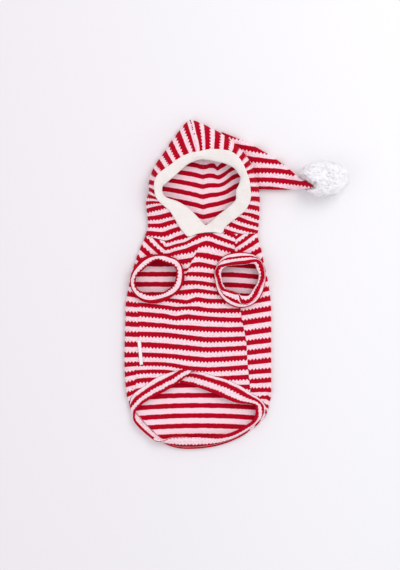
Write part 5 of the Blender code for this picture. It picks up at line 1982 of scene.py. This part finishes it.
@dataclass
class SideLabel:
    """The blank woven tab in the left side seam."""

    top: tuple[float, float] = (-0.1362, -0.0780)
    bottom: tuple[float, float] = (-0.1330, -0.1118)
    width: float = 0.0044
    clearance: float = 0.0007
    thickness: float = 0.0009
    wave: float = 0.0004

    def build(self, material: bpy.types.Material) -> bpy.types.Object:
        """Builds and dresses the tab.

        Args:
            material: its finish.

        Returns:
            The piece.
        """
        top, bottom = Vector(self.top), Vector(self.bottom)
        along = (bottom - top).normalized()
        aside = Vector((-along.y, along.x)) * (self.width / 2)
        columns = []
        for side in range(-4, 5):
            column = []
            for step in range(31):
                place = top.lerp(bottom, step / 30) + aside * side / 4
                height = top_height(place.x, place.y) + self.clearance + self.thickness
                height += self.wave * math.sin(step * 0.35) * (side / 4) ** 2
                marks = (side / 8, step / 30)
                column.append(ClothPoint(Vector((*place, height)), marks, marks))
            columns.append(column)
        label = cloth_object("side_tab", columns, material, material, wall=self.thickness)
        settle(label, "label_tape", "side_label")
        return label


@dataclass
class Studio:
    """The pale surface, soft lights and the camera straight above."""

    middle: tuple[float, float] = (-0.0512, -0.0007)
    frame_height: float = 0.798
    distance: float = 4.0
    sensor: float = 36.0

    def add_light(
        self, name: str, place: tuple[float, float, float], size: float, power: float
    ) -> None:
        """Adds a square soft light that looks at the garment.

        Args:
            name: its name.
            place: where it stands.
            size: its side in metres.
            power: its power in watts.
        """
        bpy.ops.object.light_add(type="AREA", location=place)
        lamp = bpy.context.active_object
        lamp.name = name
        lamp.data.size = size
        lamp.data.energy = power
        aim = Vector((*self.middle, 0)) - Vector(place)
        lamp.rotation_euler = aim.to_track_quat("-Z", "Y").to_euler()

    def build(self) -> None:
        """Sets the stage."""
        bpy.ops.object.select_all(action="DESELECT")
        bpy.ops.mesh.primitive_plane_add(size=8, location=(*self.middle, -0.0004))
        floor = bpy.context.active_object
        floor.name = "floor"
        bpy.ops.object.transform_apply(location=True)
        floor.data.materials.append(PaintedFalloffPaper().make())
        self.add_light("key_light", (0.9, 0.9, 1.7), 1.2, 14.6)
        self.add_light("fill_light", (-1.4, -0.6, 1.9), 1.8, 5.6)
        world = bpy.data.worlds.new("soft_room")
        world.use_nodes = True
        background = world.node_tree.nodes["Background"]
        background.inputs[0].default_value = (0.98, 0.97, 1.0, 1)
        background.inputs[1].default_value = 0.81
        bpy.context.scene.world = world
        bpy.context.scene.view_settings.view_transform = "Standard"
        bpy.ops.object.camera_add(location=(*self.middle, self.distance), rotation=(0, 0, 0))
        camera = bpy.context.active_object
        camera.name = "camera_above"
        camera.data.sensor_width = self.sensor
        camera.data.lens = self.sensor * self.distance / self.frame_height
        bpy.context.scene.camera = camera


def main() -> None:
    """Builds the garment's pieces in order and reports each."""
    logging.basicConfig(level=logging.INFO, format="%(message)s")
    bpy.ops.object.select_all(action="DESELECT")
    Studio().build()
    wardrobe = Wardrobe()
    left = Armhole("left", -0.1100, 0.0075, LEFT_ARMHOLE, 0.0175, 0.0092, fringe=1.2)
    right = Armhole("right", 0.0040, 0.0075, RIGHT_ARMHOLE, 0.0212, 0.0104)
    body = Body([left, right], wardrobe)
    hood = Hood(wardrobe)
    pieces = [
        *body.build(),
        left.build(wardrobe.left_cuff),
        right.build(wardrobe.right_cuff),
        HemBand(body).build(wardrobe.hem),
        *hood.build(),
        PeakStitches().build(hood, wardrobe.thread),
        FaceTrim().build(wardrobe.fleece),
        Tail().build(wardrobe.tail),
        Pompom().build(wardrobe.yarn),
        SideLabel().build(wardrobe.tape),
    ]
    for piece in pieces:
        LOG.info("%s: %d faces", piece.name, len(piece.data.polygons))


if __name__ == "__main__":
    main()
